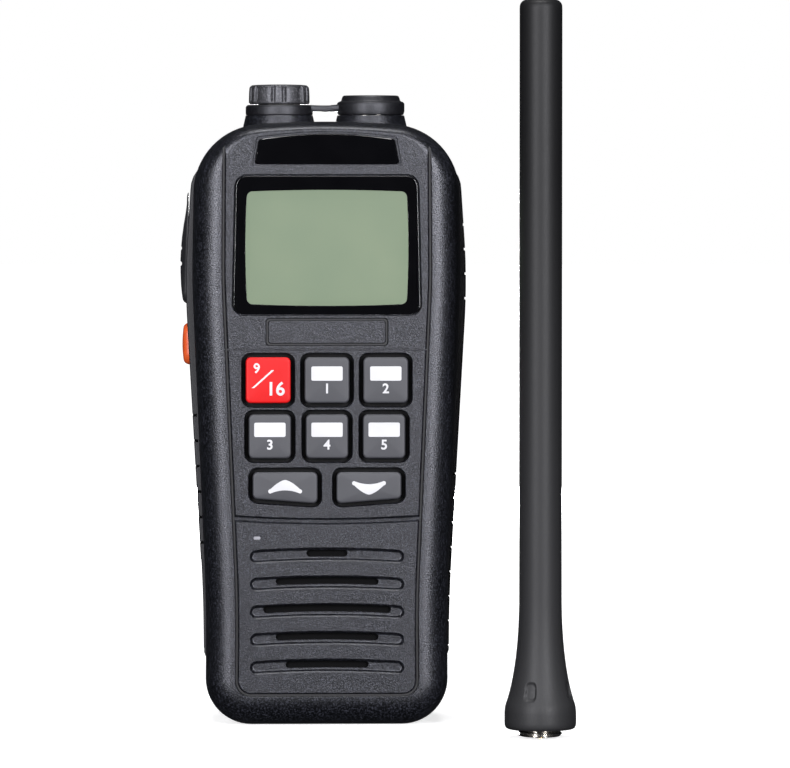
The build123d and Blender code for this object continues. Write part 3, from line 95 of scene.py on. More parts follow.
# Display, plate, tag, dividers and grille.
VIEW_Z = 104.1
WINDOW_LOW_Z = 89.65
WINDOW_TOP_Z = 119.7
WINDOW_LOW_HALF = 20.35
WINDOW_TOP_HALF = 19.66
WINDOW_CORNER = 2.4
WINDOW_THICK = 1.1
PLATE_THICK = 0.7
TAG_Z = 85.85
GRILLE_Z = 37.3
GRILLE_PITCH = 6.05
GRILLE_HALF = 16.5
GRILLE_ARCH = 0.5

# Keys as name, centre x, centre z, width, height, side of the raised corner.
KEYS = [
    ("red_key", -12.75, 75.4, 9.75, 9.95, 0),
    ("scan_key", 0.0, 75.4, 9.75, 9.95, 0),
    ("tag_key", 12.75, 75.4, 9.75, 9.95, 0),
    ("volume_key", -12.4, 63.2, 9.2, 9.6, 0),
    ("lock_key", 0.0, 63.2, 9.2, 9.6, 0),
    ("weather_key", 12.4, 63.2, 9.2, 9.6, 0),
    ("up_key", -9.1, 52.0, 14.1, 6.9, -1),
    ("down_key", 9.1, 52.0, 14.1, 6.9, 1),
]
KEY_CORNER = 1.1
KEY_PROUD = 0.7
KEY_GAP = 0.85
KEY_EDGE = 0.45
KEY_CROWN = 0.16
KEY_STEM_Y = -15.15
ARROW_LIFT = 1.1

# Side buttons as (width, height), centre z and corner radius.
TALK = ((7.4, 24.4), 103.8, 2.9)
ALERT = ((5.2, 9.2), 82.7, 2.59)
SIDE_Y = 1.5

# Top of the handset.
TOP_Y = 4.0
KNOB_X = -10.2
SOCKET_X = 10.0

# Antenna.
ANTENNA_X = 45.1
ANTENNA_Y = -44.0
SHEATH_R = 4.54

# Belt clip hinge.
HINGE_Y = 23.2
HINGE_Z = 74.0


# ---- node wiring


class Wire:
    """A socket of a node tree. Arithmetic on it adds Math nodes, and node() adds any other node."""

    def __init__(self, tree, socket=None):
        self.tree = tree
        self.socket = socket

    def node(self, kind, settings=None, inputs=None, output=0):
        """Adds a node: settings first, then the values or links of its sockets."""
        made = self.tree.nodes.new(kind)
        for name, value in (settings or {}).items():
            if name == "stops":
                self.set_stops(made.color_ramp, value)
            else:
                setattr(made, name, value)
        for key, value in (inputs or {}).items():
            if isinstance(value, Wire):
                self.tree.links.new(value.socket, made.inputs[key])
            else:
                made.inputs[key].default_value = value
        return Wire(self.tree, made.outputs[output] if made.outputs else None)

    @staticmethod
    def set_stops(ramp, stops):
        while len(ramp.elements) < len(stops):
            ramp.elements.new(1.0)
        for element, (place, shade) in zip(ramp.elements, stops):
            element.position = place
            element.color = (shade, shade, shade, 1) if isinstance(shade, float) else (*shade, 1)

    def math(self, operation, *values):
        return self.node("ShaderNodeMath", {"operation": operation}, dict(enumerate(values)))

    def __add__(self, other):
        return self.math("ADD", self, other)

    __radd__ = __add__

    def __sub__(self, other):
        return self.math("SUBTRACT", self, other)

    def __rsub__(self, other):
        return self.math("SUBTRACT", other, self)

    def __mul__(self, other):
        return self.math("MULTIPLY", self, other)

    __rmul__ = __mul__

    def __truediv__(self, other):
        return self.math("DIVIDE", self, other)

    def __lt__(self, other):
        return self.math("LESS_THAN", self, other)

    def __abs__(self):
        return self.math("ABSOLUTE", self)

    def spread(self, low, high):
        """Brings a value from 0..1 to low..high."""
        return self * (high - low) + low

    def place(self):
        return self.node("ShaderNodeTexCoord", output="Object")

    def split(self):
        """The three parts of a vector."""
        made = self.node("ShaderNodeSeparateXYZ", inputs={0: self}).socket.node
        return [Wire(self.tree, socket) for socket in made.outputs]

    def ramp(self, low, high):
        """Black up to low and white from high on."""
        return self.node("ShaderNodeValToRGB", {"stops": [(low, 0.0), (high, 1.0)]}, {"Fac": self})

    def grain(self, size_mm, detail=2.0, rough=0.5):
        """Noise whose features are about that many millimetres across."""
        inputs = {"Vector": self.place(), "Scale": 1 / (size_mm * MM), "Detail": detail, "Roughness": rough}
        return self.node("ShaderNodeTexNoise", inputs=inputs)

    def mixed(self, factor, first, second):
        """Colour between first and second."""
        made = self.tree.nodes.new("ShaderNodeMix")
        made.data_type = "RGBA"
        for index, value in ((0, factor), (6, first), (7, second)):
            if isinstance(value, Wire):
                self.tree.links.new(value.socket, made.inputs[index])
            else:
                made.inputs[index].default_value = value if index == 0 else (*value, 1)
        return Wire(self.tree, made.outputs[2])

    def bump(self, height, depth_mm, edge_mm=0.0):
        """Normal with relief, which can also round the edges of a hard solid."""
        inputs = {"Height": height, "Distance": depth_mm * MM, "Strength": 1.0}
        if edge_mm:
            inputs["Normal"] = self.node("ShaderNodeBevel", {"samples": 4}, {"Radius": edge_mm * MM})
        return self.node("ShaderNodeBump", inputs=inputs)


FINISHES = {}
BLOTCH_MM = 9.0
DRAWN_LINES = (4000.0, 4000.0, 300.0)  # lines per metre, fine across and long upright


def finish(name, recipe):
    """Makes a material; the recipe returns what goes to the shader's sockets."""
    material = bpy.data.materials.new(name)
    material.use_nodes = True
    tree = material.node_tree
    tree.nodes.clear()
    start = Wire(tree)
    inputs = recipe(start)
    for key, value in inputs.items():
        if isinstance(value, tuple) and len(value) == 3:
            inputs[key] = (*value, 1)
    shader = start.node("ShaderNodeBsdfPrincipled", inputs=inputs)
    start.node("ShaderNodeOutputMaterial", inputs={"Surface": shader})
    FINISHES[name] = material
    return material


def moulded(name, dark, light, rough, grain_mm, depth_mm, edge_mm=0.0, specular=0.5):
    """Moulded plastic or rubber: fine grain, slow change of colour and gloss, softened edges."""

    def recipe(w):
        fine = w.grain(grain_mm, 2.0, 0.6)
        return {
            "Base Color": w.mixed(w.grain(BLOTCH_MM, 3.0).ramp(0.3, 0.7), dark, light),
            "Roughness": fine.spread(rough - 0.09, rough + 0.09),
            "Specular IOR Level": specular,
            "Normal": w.bump(fine, depth_mm, edge_mm),
        }

    return finish(name, recipe)


def sparkling(name, dark, light, rough, grain_mm, depth_mm, edge_mm=0.0):
    """Spark-eroded plastic: pale and dark grains, glossier where they catch the light."""

    def recipe(w):
        fine = w.grain(grain_mm, 2.0, 0.7)
        fleck = fine.ramp(0.5, 0.68) * w.grain(BLOTCH_MM, 3.0).spread(0.6, 1.0)
        return {
            "Base Color": w.mixed(fleck, dark, light),
            "Roughness": fine.spread(rough - 0.16, rough + 0.16),
            "Specular IOR Level": 0.6,
            "Specular Tint": (0.92, 0.93, 1.0),
            "Normal": w.bump(w.grain(0.22, 1.0), depth_mm, edge_mm),
        }

    return finish(name, recipe)


def metal(name, colour, worn, rough, edge_mm=0.08):
    """Machined or plated metal with fine drawn lines and slightly duller patches."""

    def recipe(w):
        stretched = w.node("ShaderNodeMapping", inputs={"Vector": w.place(), "Scale": DRAWN_LINES})
        lines = w.node("ShaderNodeTexNoise", inputs={"Vector": stretched, "Scale": 1.0, "Detail": 2.0})
        return {
            "Base Color": w.mixed(w.grain(1.6, 3.0), colour, worn),
            "Metallic": 1.0,
            "Roughness": lines.spread(rough - 0.06, rough + 0.1),
            "Normal": w.bump(lines, 0.01, edge_mm),
        }

    return finish(name, recipe)


def lcd_glass(w):
    """Unlit liquid-crystal glass: grey green, darkened towards its frame by painted shade."""
    across, _, upright = w.place().split()
    # Painted shade from the frame: the glass turns darker green near its edges.
    reach = [abs(across) / (18.0 * MM), abs(upright - VIEW_Z * MM) / (12.8 * MM)]
    rim = w.math("MAXIMUM", *(w.math("POWER", part, 8.0) for part in reach))
    cloud = w.grain(14.0, 2.0)
    field = w.mixed(cloud, (0.136, 0.18, 0.122), (0.172, 0.212, 0.138))
    colour = w.mixed(rim * 0.5, field, (0.13, 0.17, 0.11))
    return {
        "Base Color": colour,
        "Roughness": cloud.spread(0.3, 0.36),
        "Specular IOR Level": 0.3,
        "Normal": w.bump(w.grain(0.25, 1.0), 0.001),
    }


def gloss_black(w):
    """Polished black acrylic with the faintest ripple."""
    ripple = w.grain(6.0, 1.0)
    return {
        "Base Color": w.mixed(ripple, (0.0012, 0.0012, 0.0016), (0.0022, 0.0022, 0.0028)),
        "Roughness": ripple.spread(0.05, 0.1),
        "Specular IOR Level": 0.4,
        "Normal": w.bump(ripple, 0.004, 0.12),
    }


def painted_light_rubber(w):
    """Antenna rubber: dull, and paler towards its lower end by painted light."""
    fine = w.grain(0.4, 2.0, 0.6)
    # Painted light: the rubber turns paler towards the lower end, as if lit more there.
    span = {"From Min": 0.03, "From Max": 0.12, "To Min": 1.0, "To Max": 0.0}
    lower_painted_light = w.node("ShaderNodeMapRange", inputs={"Value": w.place().split()[2], **span})
    return {
        "Base Color": w.mixed(lower_painted_light, (0.006, 0.006, 0.0065), (0.021, 0.021, 0.022)),
        "Roughness": fine.spread(0.44, 0.6),
        "Specular IOR Level": 0.3,
        "Normal": w.bump(fine, 0.02),
    }


def woven_cloth(w):
    """Fine black cloth: over and under threads in a square weave."""
    across, _, upright = w.place().split()
    thread = 2 * pi / (0.5 * MM)
    warp = w.math("SINE", across * thread)
    weft = w.math("SINE", upright * thread)
    weave = (warp * weft).spread(0.5, 1.0)
    return {
        "Base Color": w.mixed(weave, (0.0003, 0.0003, 0.0004), (0.0015, 0.0015, 0.0018)),
        "Roughness": weave.spread(0.85, 0.95),
        "Specular IOR Level": 0.15,
        "Normal": w.bump(weave, 0.06),
    }


def circuit_board(w):
    """Green solder mask with copper tracks showing through."""
    kind = {"distance": "MANHATTAN", "feature": "DISTANCE_TO_EDGE"}
    track = w.node("ShaderNodeTexVoronoi", kind, {"Vector": w.place(), "Scale": 1 / (2.2 * MM)}) < 0.06
    fleck = w.grain(0.4, 1.0)
    return {
        "Base Color": w.mixed(track, (0.006, 0.07, 0.025), (0.03, 0.17, 0.06)),
        "Roughness": fleck.spread(0.3, 0.42),
        "Coat Weight": track * 0.3,
        "Normal": w.bump(track + fleck * 0.2, 0.03, 0.1),
    }


CASE_DARK, CASE_LIGHT = (0.0005, 0.0007, 0.0012), (0.036, 0.038, 0.05)
case_plastic = sparkling("case_plastic", CASE_DARK, CASE_LIGHT, 0.36, 0.36, 0.06)
sparkling("case_plastic_solid", CASE_DARK, CASE_LIGHT, 0.36, 0.36, 0.06, 0.3)
grip_rubber = moulded("grip_rubber", (0.014, 0.014, 0.016), (0.021, 0.021, 0.024), 0.58, 0.2, 0.02, 0.1)
talk_rubber = moulded("talk_rubber", (0.014, 0.014, 0.016), (0.02, 0.02, 0.022), 0.56, 0.22, 0.03)
moulded("key_rubber", (0.038, 0.039, 0.045), (0.046, 0.047, 0.054), 0.52, 0.16, 0.012)
# Near-black finish that paints shade on the walls and floors of grooves.
groove_dark = moulded("groove_dark", (0.001, 0.001, 0.0015), (0.004, 0.004, 0.006), 0.5, 0.3, 0.02)
port_gauze = metal("port_gauze", (0.3, 0.3, 0.32), (0.22, 0.22, 0.24), 0.5)
# Near-black rubber that paints shade into the notches cut in the side grips.
NOTCH_SHADE_DARK, NOTCH_SHADE_PALE = (0.002, 0.002, 0.0025), (0.004, 0.004, 0.0045)
notch_black = moulded("notch_black", NOTCH_SHADE_DARK, NOTCH_SHADE_PALE, 0.8, 0.3, 0.02, 0.0, 0.15)
# Near-black rubber that paints shade on key flanges and stems seen down the wells.
web_rubber = moulded("web_rubber", (0.002, 0.002, 0.0025), (0.003, 0.003, 0.0035), 0.7, 0.3, 0.02, 0.0, 0.2)
moulded("red_rubber", (0.52, 0.005, 0.006), (0.58, 0.008, 0.009), 0.45, 0.16, 0.01, 0.0, 0.22)
orange_rubber = moulded("orange_rubber", (0.78, 0.1, 0.02), (0.84, 0.13, 0.028), 0.42, 0.2, 0.01)
print_white = moulded("print_white", (0.5, 0.5, 0.51), (0.58, 0.58, 0.59), 0.5, 0.12, 0.006)
knob_rubber = sparkling("knob_rubber", (0.02, 0.02, 0.022), (0.12, 0.12, 0.13), 0.42, 0.4, 0.05)
cap_rubber = sparkling("cap_rubber", (0.002, 0.002, 0.003), (0.009, 0.009, 0.011), 0.48, 0.4, 0.04, 0.15)
black_plastic = moulded("black_plastic", (0.012, 0.012, 0.013), (0.018, 0.018, 0.02), 0.4, 0.3, 0.03, 0.3)
antenna_rubber = finish("antenna_rubber", painted_light_rubber)
moulded("foam_black", (0.015, 0.015, 0.015), (0.03, 0.03, 0.03), 0.9, 0.25, 0.15)
moulded("white_insulator", (0.72, 0.71, 0.67), (0.8, 0.79, 0.76), 0.4, 0.3, 0.01, 0.1)
moulded("light_guide", (0.7, 0.74, 0.76), (0.8, 0.84, 0.85), 0.2, 0.6, 0.01, 0.2)
moulded("paper_cone", (0.02, 0.02, 0.021), (0.04, 0.04, 0.042), 0.85, 0.3, 0.1)
moulded("cell_wrap", (0.02, 0.12, 0.3), (0.03, 0.16, 0.36), 0.25, 0.8, 0.01, 0.3)
moulded("magnet_black", (0.03, 0.03, 0.032), (0.05, 0.05, 0.052), 0.45, 0.5, 0.03, 0.2)
moulded("fibreglass", (0.55, 0.5, 0.36), (0.66, 0.62, 0.46), 0.4, 0.4, 0.03, 0.1)
nickel = metal("nickel", (0.62, 0.6, 0.56), (0.5, 0.48, 0.44), 0.2)
metal("steel", (0.45, 0.45, 0.46), (0.34, 0.34, 0.35), 0.3)
spring_steel = metal("spring_steel", (0.18, 0.18, 0.19), (0.12, 0.12, 0.13), 0.34, 0.2)
metal("tinplate", (0.66, 0.66, 0.65), (0.55, 0.55, 0.55), 0.28)
metal("brass", (0.72, 0.5, 0.2), (0.6, 0.4, 0.15), 0.25)
metal("gold_plate", (0.85, 0.6, 0.25), (0.75, 0.5, 0.18), 0.2)
lcd = finish("lcd_glass", lcd_glass)
black_acrylic = finish("gloss_black", gloss_black)
finish("cloth", woven_cloth)
finish("board_green", circuit_board)

# Finishes of carried nodes whose material slot has another name.
OTHER_FINISH = {
    "case_plastic": "case_plastic_solid",
    "knob_rubber": "cap_rubber",
    "foam": "foam_black",
    "paper": "paper_cone",
    "magnet": "magnet_black",
}


# ---- mesh making


def clamp(value):
    return max(0.0, min(1.0, value))


def quarter(steps):
    """Sine and cosine at even steps over a quarter turn."""
    return [(sin(pi / 2 * i / steps), cos(pi / 2 * i / steps)) for i in range(steps + 1)]


def circle(x, z, radius, steps):
    turns = [2 * pi * i / steps for i in range(steps)]
    return [(x + radius * cos(turn), z + radius * sin(turn)) for turn in turns]


def drawn_in(loop, x, z, share):
    """A loop shrunk towards a point."""
    return [(x + (px - x) * share, z + (pz - z) * share) for px, pz in loop]


def placed(name, data):
    """New object in the scene."""
    obj = bpy.data.objects.new(name, data)
    bpy.context.scene.collection.objects.link(obj)
    return obj


def cleaned(data, weld=0.0):
    """Turns a mesh's normals outwards, after merging points closer than weld."""
    work = bmesh.new()
    work.from_mesh(data)
    if weld:
        bmesh.ops.remove_doubles(work, verts=work.verts, dist=weld)
    bmesh.ops.recalc_face_normals(work, faces=work.faces)
    work.to_mesh(data)
    work.free()


def mesh_piece(name, points, faces, finishes=()):
    """Object from points in millimetres and faces."""
    data = bpy.data.meshes.new(name)
    data.from_pydata([tuple(p) for p in points], [], faces)
    data.update()
    cleaned(data)
    for material in finishes:
        data.materials.append(material)
    return placed(name, data)


def lofted(name, sections, finishes=(), closed=False):
    """Skin over sections, each a closed loop of as many points; the ends are capped unless closed."""
    count, rows = len(sections[0]), len(sections)
    faces = []
    for row in range(rows if closed else rows - 1):
        here, after = row * count, (row + 1) % rows * count
        for i in range(count):
            j = (i + 1) % count
            faces.append((here + i, here + j, after + j, after + i))
    if not closed:
        faces += [tuple(range(count)), tuple(range((rows - 1) * count, rows * count))]
    return mesh_piece(name, [p for section in sections for p in section], faces, finishes)


def layered(name, rows, finishes=(), closed=False):
    """Skin over loops of (x, z), each given with its depth."""
    return lofted(name, [[(x, y, z) for x, z in loop] for loop, y in rows], finishes, closed)


def prism(name, loop, front, back, finishes=()):
    """One outline carried from a depth to another."""
    return layered(name, [(loop, front), (loop, back)], finishes)


def across_width(name, loop, start, end):
    """One outline of (y, z) carried from side to side."""
    return lofted(name, [at_width(loop, x) for x in (start, end)])


def at_width(loop, x):
    return [(x, y, z) for y, z in loop]


def turned(name, profile, centre, finishes=(), steps=64, shape=None, closed=False):
    """Solid turned about an upright axis from (radius, height), or a tube if closed.

    shape may move a point in or out.
    """
    sections = []
    for radius, height in profile:
        ring = []
        for i in range(steps):
            angle = 2 * pi * i / steps
            moved = shape(radius, height, angle) if shape else radius
            ring.append((centre[0] + moved * sin(angle), centre[1] - moved * cos(angle), height))
        sections.append(ring)
    return lofted(name, sections, finishes, closed)


def baked(obj):
    """Mesh of an object as its modifiers make it."""
    bpy.context.view_layer.update()
    return bpy.data.meshes.new_from_object(obj.evaluated_get(bpy.context.evaluated_depsgraph_get()))


def evaluated(obj):
    """Replaces an object's mesh with what its modifiers make, and drops them."""
    made = baked(obj)
    obj.modifiers.clear()
    obj.data = made
    return obj


def carved(target, tool, how="DIFFERENCE"):
    """Cuts, joins or trims target by tool."""
    change = target.modifiers.new("carve", "BOOLEAN")
    change.operation = how
    change.solver = "MANIFOLD"
    change.material_mode = "TRANSFER" if any(tool.data.materials) else "INDEX"
    change.object = tool
    evaluated(target)
    bpy.data.objects.remove(tool)
    return target


def joined(parts):
    """One object out of several, keeping their materials."""
    first = parts[0]
    data = bmesh.new()
    finishes = []
    for part in parts:
        start = len(data.faces)
        data.from_mesh(part.data)
        data.faces.ensure_lookup_table()
        slots = []
        for material in part.data.materials:
            if material not in finishes:
                finishes.append(material)
            slots.append(finishes.index(material))
        for face in data.faces[start:]:
            face.material_index = slots[face.material_index] if slots else 0
    first.data.materials.clear()
    for material in finishes:
        first.data.materials.append(material)
    data.to_mesh(first.data)
    data.free()
    for part in parts[1:]:
        bpy.data.objects.remove(part)
    return first


def shaded(obj, sharp):
    """Brings a finished piece to metres and shades it."""
    obj.data.transform(Matrix.Scale(MM, 4))
    obj.data.shade_smooth()
    obj.data.set_sharp_from_angle(angle=radians(sharp))


def settle(obj, body, replaced, sharp=32):
    """Finishes a piece and lets it ride on its body in place of a node."""
    shaded(obj, sharp)
    weigh = obj.modifiers.new("flat faces stay flat", "WEIGHTED_NORMAL")
    weigh.keep_sharp = True
    evaluated(obj)
    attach(obj, body)
    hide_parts(replaced)


# ---- outlines


def corner_arc(before, corner, after, radius, steps):
    """Points of a fillet between two straight sides."""
    first = Vector(before) - Vector(corner)
    second = Vector(after) - Vector(corner)
    first.normalize()
    second.normalize()
    half = acos(max(-1.0, min(1.0, first.dot(second)))) / 2
    run = radius / (sin(half) / cos(half))
    centre = Vector(corner) + (first + second).normalized() * (radius / sin(half))
    start = Vector(corner) + first * run - centre
    end = Vector(corner) + second * run - centre
    low = atan2(start.y, start.x)
    turn = atan2(end.y, end.x) - low
    turn = (turn + pi) % (2 * pi) - pi
    return [
        (centre.x + radius * cos(low + turn * i / steps), centre.y + radius * sin(low + turn * i / steps))
        for i in range(steps + 1)
    ]


def case_loop(rim=0.0, top=0.0, gripped=False):
    """Outline of the case, drawn in by rim at the sides and foot and by top at the crown."""
    steps = (0.0, 0.0, 0.0) if gripped else (GRIP_STEP_FOOT, GRIP_STEP_HIP, GRIP_STEP_SHOULDER)
    foot_step, hip_step, shoulder_step = steps
    knee_step = foot_step + (hip_step - foot_step) * KNEE_Z / HIP_Z
    foot = (FOOT_HALF - foot_step - rim, rim)
    knee = (KNEE_HALF - knee_step - rim, KNEE_Z)
    hip = (HIP_HALF - hip_step - rim, HIP_Z)
    shoulder = (SHOULDER_HALF - shoulder_step - rim, SHOULDER_Z - top)
    right = [(0.0, rim)]
    right += corner_arc((-foot[0], foot[1]), foot, knee, FOOT_R - rim, 14)
    right += corner_arc(foot, knee, hip, KNEE_R + rim, 4)
    right += corner_arc(knee, hip, shoulder, HIP_R - rim, 8)
    radius = SHOULDER_R - rim
    arch_r = (shoulder[0] ** 2 + CROWN_ARCH**2) / (2 * CROWN_ARCH)
    centre = Vector((0.0, CROWN_Z - top - arch_r))
    line = (Vector(shoulder) - Vector(hip)).normalized()
    inward = Vector((-line.y, line.x))
    from_arch = Vector(hip) + inward * radius - centre
    along = from_arch.dot(line)
    room = along**2 - (from_arch.dot(from_arch) - (arch_r - radius) ** 2)
    middle = centre + from_arch + line * (-along + sqrt(room))
    low = atan2(-inward.y, -inward.x)
    outward = (middle - centre).normalized()
    begin = atan2(outward.y, outward.x)
    turns = [(middle, radius, low + (begin - low) * i / 16) for i in range(17)]
    turns += [(centre, arch_r, begin + (pi / 2 - begin) * i / 12) for i in range(1, 13)]
    right += [(about.x + r * cos(angle), about.y + r * sin(angle)) for about, r, angle in turns]
    return right + [(-x, z) for x, z in reversed(right[1:-1])]


def rounded_loop(corners, steps=6):
    """Loop with rounded corners, each given as (x, z, radius)."""
    loop = []
    for i, (x, z, radius) in enumerate(corners):
        before, after = corners[i - 1], corners[(i + 1) % len(corners)]
        loop += corner_arc(before[:2], (x, z), after[:2], radius, steps)
    return loop


def box_loop(x, z, width, height, corner, grow=0.0, steps=6):
    half, tall, radius = width / 2 + grow, height / 2 + grow, max(corner + grow, 0.02)
    corners = [(x - half, z - tall), (x + half, z - tall), (x + half, z + tall), (x - half, z + tall)]
    return rounded_loop([(cx, cz, radius) for cx, cz in corners], steps)


def key_loop(x, z, width, height, side, grow=0.0):
    half, tall, radius = width / 2 + grow, height / 2 + grow, KEY_CORNER + grow
    left_low = -tall + (ARROW_LIFT if side < 0 else 0)
    right_low = -tall + (ARROW_LIFT if side > 0 else 0)
    corners = [(-half, left_low), (half, right_low), (half, tall), (-half, tall)]
    return rounded_loop([(x + cx, z + cz, max(radius, 0.3)) for cx, cz in corners], 6)


def window_loop(grow=0.0):
    low, high = WINDOW_LOW_HALF + grow, WINDOW_TOP_HALF + grow
    foot, head = WINDOW_LOW_Z - grow, WINDOW_TOP_Z + grow
    corners = [(-low, foot), (low, foot), (high, head), (-high, head)]
    return rounded_loop([(x, z, WINDOW_CORNER + grow) for x, z in corners], 8)


def plate_loop(grow=0.0):
    """Name plate outline with an arched upper edge."""
    low, high = 31.5 / 2 + grow, 29.4 / 2 + grow
    foot, head, arch = 122.2 - grow, 127.6 + grow, 1.2
    radius = (high**2 + arch**2) / (2 * arch)
    centre = head + arch - radius
    begin = atan2(head - centre, high)
    turns = [begin + (pi - 2 * begin) * i / 16 for i in range(1, 16)]
    crown = [(radius * cos(angle), centre + radius * sin(angle)) for angle in turns]
    corners = [crown[-1], (-high, head), (-low, foot), (low, foot), (high, head), crown[0]]
    loop = []
    for i in range(1, 5):
        loop += corner_arc(corners[i - 1], corners[i], corners[i + 1], 0.7, 4)
    return loop + crown


def slot_loop(x, z, half, height, arch, grow=0.0):
    """Slot with round ends that rises by arch in its middle."""
    radius = height / 2 + grow
    reach = half - height / 2
    spine = []
    for i in range(25):
        share = 2 * i / 24 - 1
        slope = -2 * arch * share / max(reach, 0.01)
        spine.append((x + reach * share, z + arch / 2 - arch * share**2, slope))
    upper = [(px - slope * radius, pz + radius) for px, pz, slope in spine]
    lower = [(px + slope * radius, pz - radius) for px, pz, slope in reversed(spine)]
    turns = [(radius * sin(pi * i / 9), radius * cos(pi * i / 9)) for i in range(1, 9)]
    right = [(spine[-1][0] + dx, spine[-1][1] + dz) for dx, dz in turns]
    left = [(spine[0][0] - dx, spine[0][1] - dz) for dx, dz in turns]
    return upper + right + lower + left


def growing(shape, *sizes):
    """An outline that can still be grown."""
    return lambda grow: shape(*sizes, grow)


def recess(outline, depth, lead, rounding=0.0):
    """Cutter that enters the face with a broken edge and may have a rounded floor."""
    rows = [(outline(lead + BURST), -BURST), (outline(0.0), lead)]
    for s, c in quarter(4) if rounding else [(1.0, 0.0)]:
        rows.append((outline(-rounding * (1 - c)), depth - rounding * (1 - s)))
    return layered("recess", [(loop, FACE_Y + sunk) for loop, sunk in rows])


def ring_recess(outer, inner, depth, lead, inner_lead, face=FACE_Y, way=1):
    """Groove between two outlines, with broken edges and painted shade on its walls and floor; way is 1 into
    the face and -1 into the back.
    """
    rows = [
        (outer(lead + BURST), -BURST),
        (outer(0.0), lead),
        (outer(-0.08), depth),
        (inner(0.08), depth),
        (inner(0.0), inner_lead),
        (inner(-inner_lead - BURST), -BURST),
    ]
    rows = [(loop, face + way * sunk) for loop, sunk in rows]
    tool = layered("ring_recess", rows, [case_plastic, groove_dark], closed=True)
    # The groove's walls and floor take the painted-shade finish.
    for number, polygon in enumerate(tool.data.polygons):
        polygon.material_index = 1 if number // len(rows[0][0]) in (1, 2, 3) else 0
    return tool


def swept_recess(spine, profile):
    """Groove along a line of (x, z) with a cross-section of (rise, depth)."""
    sections = [[(x, FACE_Y + depth, z + rise) for rise, depth in profile] for x, z in spine]
    return lofted("swept_recess", sections)


# ---- repeated things, grown by rule


def rule(name, inputs, build):
    """Geometry Nodes tree with named inputs; what it builds is realised and given its finish."""
    tree = bpy.data.node_groups.new(name, "GeometryNodeTree")
    for label, value in inputs.items():
        kind = "NodeSocketInt" if isinstance(value, int) else "NodeSocketFloat"
        tree.interface.new_socket(label, in_out="INPUT", socket_type=kind).default_value = value
    tree.interface.new_socket("Finish", in_out="INPUT", socket_type="NodeSocketMaterial")
    tree.interface.new_socket("Geometry", in_out="OUTPUT", socket_type="NodeSocketGeometry")
    given = tree.nodes.new("NodeGroupInput")
    start = Wire(tree)
    sizes = {socket.name: Wire(tree, socket) for socket in given.outputs if socket.name}
    built = start.node("GeometryNodeRealizeInstances", inputs={0: build(start, sizes)})
    painted = start.node("GeometryNodeSetMaterial", inputs={"Geometry": built, "Material": sizes["Finish"]})
    start.node("NodeGroupOutput", inputs={0: painted})
    return tree


def grown(name, tree, sizes, finish_material):
    """Runs a tree and keeps what it makes as a plain mesh."""
    obj = mesh_piece(name, [], [])
    change = obj.modifiers.new("grow", "NODES")
    change.node_group = tree
    given = {**sizes, "Finish": finish_material}
    for item in tree.interface.items_tree:
        if item.in_out == "INPUT" and item.name in given:
            change[item.identifier] = given[item.name]
    return evaluated(obj)


def stood_up(w, s, across, height, thing):
    """Copies of a thing, one over another."""
    line = w.node("GeometryNodeMeshLine", inputs={"Count": s["Count"]})
    where = w.node("ShaderNodeCombineXYZ", inputs={0: across, 1: s["Centre depth"], 2: height})
    points = w.node("GeometryNodeSetPosition", inputs={"Geometry": line, "Position": where})
    return w.node("GeometryNodeInstanceOnPoints", inputs={"Points": points, "Instance": thing})


def notch_row(w, s):
    """Blocks up one side of the case; each lies where the side is at its height."""
    height = s["Low height"] + w.node("GeometryNodeInputIndex") * s["Pitch"]
    side = {"Value": height, "From Min": KNEE_Z, "From Max": HIP_Z, "To Min": KNEE_HALF, "To Max": HIP_HALF}
    across = (w.node("ShaderNodeMapRange", inputs=side) + s["Proud"]) * s["Side"]
    size = w.node("ShaderNodeCombineXYZ", inputs={0: s["Reach"], 1: s["Length"], 2: s["Height"]})
    return stood_up(w, s, across, height, w.node("GeometryNodeMeshCube", inputs={"Size": size}))


NOTCH_SIZES = {"Count": 8, "Pitch": 5.4, "Low height": 16.4, "Height": 0.6, "Length": 9.0, "Reach": 4.0}
NOTCH_SIZES |= {"Proud": 1.05, "Centre depth": -2.0, "Side": 1.0}
NOTCH_ROW = rule("notch_row", NOTCH_SIZES, notch_row)


def wound_wire(w, s):
    """Round wire wound along an axis, as a spring."""
    sizes = {"Resolution": 24, "Rotations": s["Turns"], "Height": s["Length"]}
    sizes |= {"Start Radius": s["Radius"], "End Radius": s["Radius"]}
    coil = w.node("GeometryNodeCurveSpiral", inputs=sizes)
    section = w.node("GeometryNodeCurvePrimitiveCircle", inputs={"Resolution": 8, "Radius": s["Wire radius"]})
    parts = {"Curve": coil, "Profile Curve": section, "Fill Caps": True}
    return w.node("GeometryNodeCurveToMesh", inputs=parts)


COIL_SIZES = {"Turns": 5.0, "Radius": 1.75, "Length": 5.3, "Wire radius": 0.3}
WOUND_WIRE = rule("wound_wire", COIL_SIZES, wound_wire)


def rib_stack(w, s):
    """Bars one over another, which press finger ribs or grip lines into a piece."""
    height = s["Middle height"] + (w.node("GeometryNodeInputIndex") - (s["Count"] - 1) / 2) * s["Pitch"]
    sizes = {"Vertices": 16, "Radius": s["Radius"], "Depth": s["Length"]}
    bar = w.node("GeometryNodeMeshCylinder", inputs=sizes)
    turn = w.node("ShaderNodeCombineXYZ", inputs={0: pi / 2, 1: 0.0, 2: s["Turn"]})
    lying = w.node("GeometryNodeTransform", inputs={"Geometry": bar, "Rotation": turn})
    return stood_up(w, s, s["Across"], height, lying)


RIB_SIZES = {"Count": 3, "Pitch": 3.4, "Radius": 0.6, "Length": 9.0, "Across": -33.0}
RIB_SIZES |= {"Centre depth": SIDE_Y, "Middle height": TALK[1], "Turn": 0.0}
RIB_STACK = rule("rib_stack", RIB_SIZES, rib_stack)


# ---- the case


def rounded_rows(start, end, rim, side_inset, top_inset, steps):
    """Case outlines that shrink along a quarter ellipse from one depth to another."""
    rows = []
    for s, c in quarter(steps):
        loop = case_loop(rim + side_inset * (1 - c), rim + top_inset * (1 - c))
        rows.append((loop, start + (end - start) * s))
    return rows


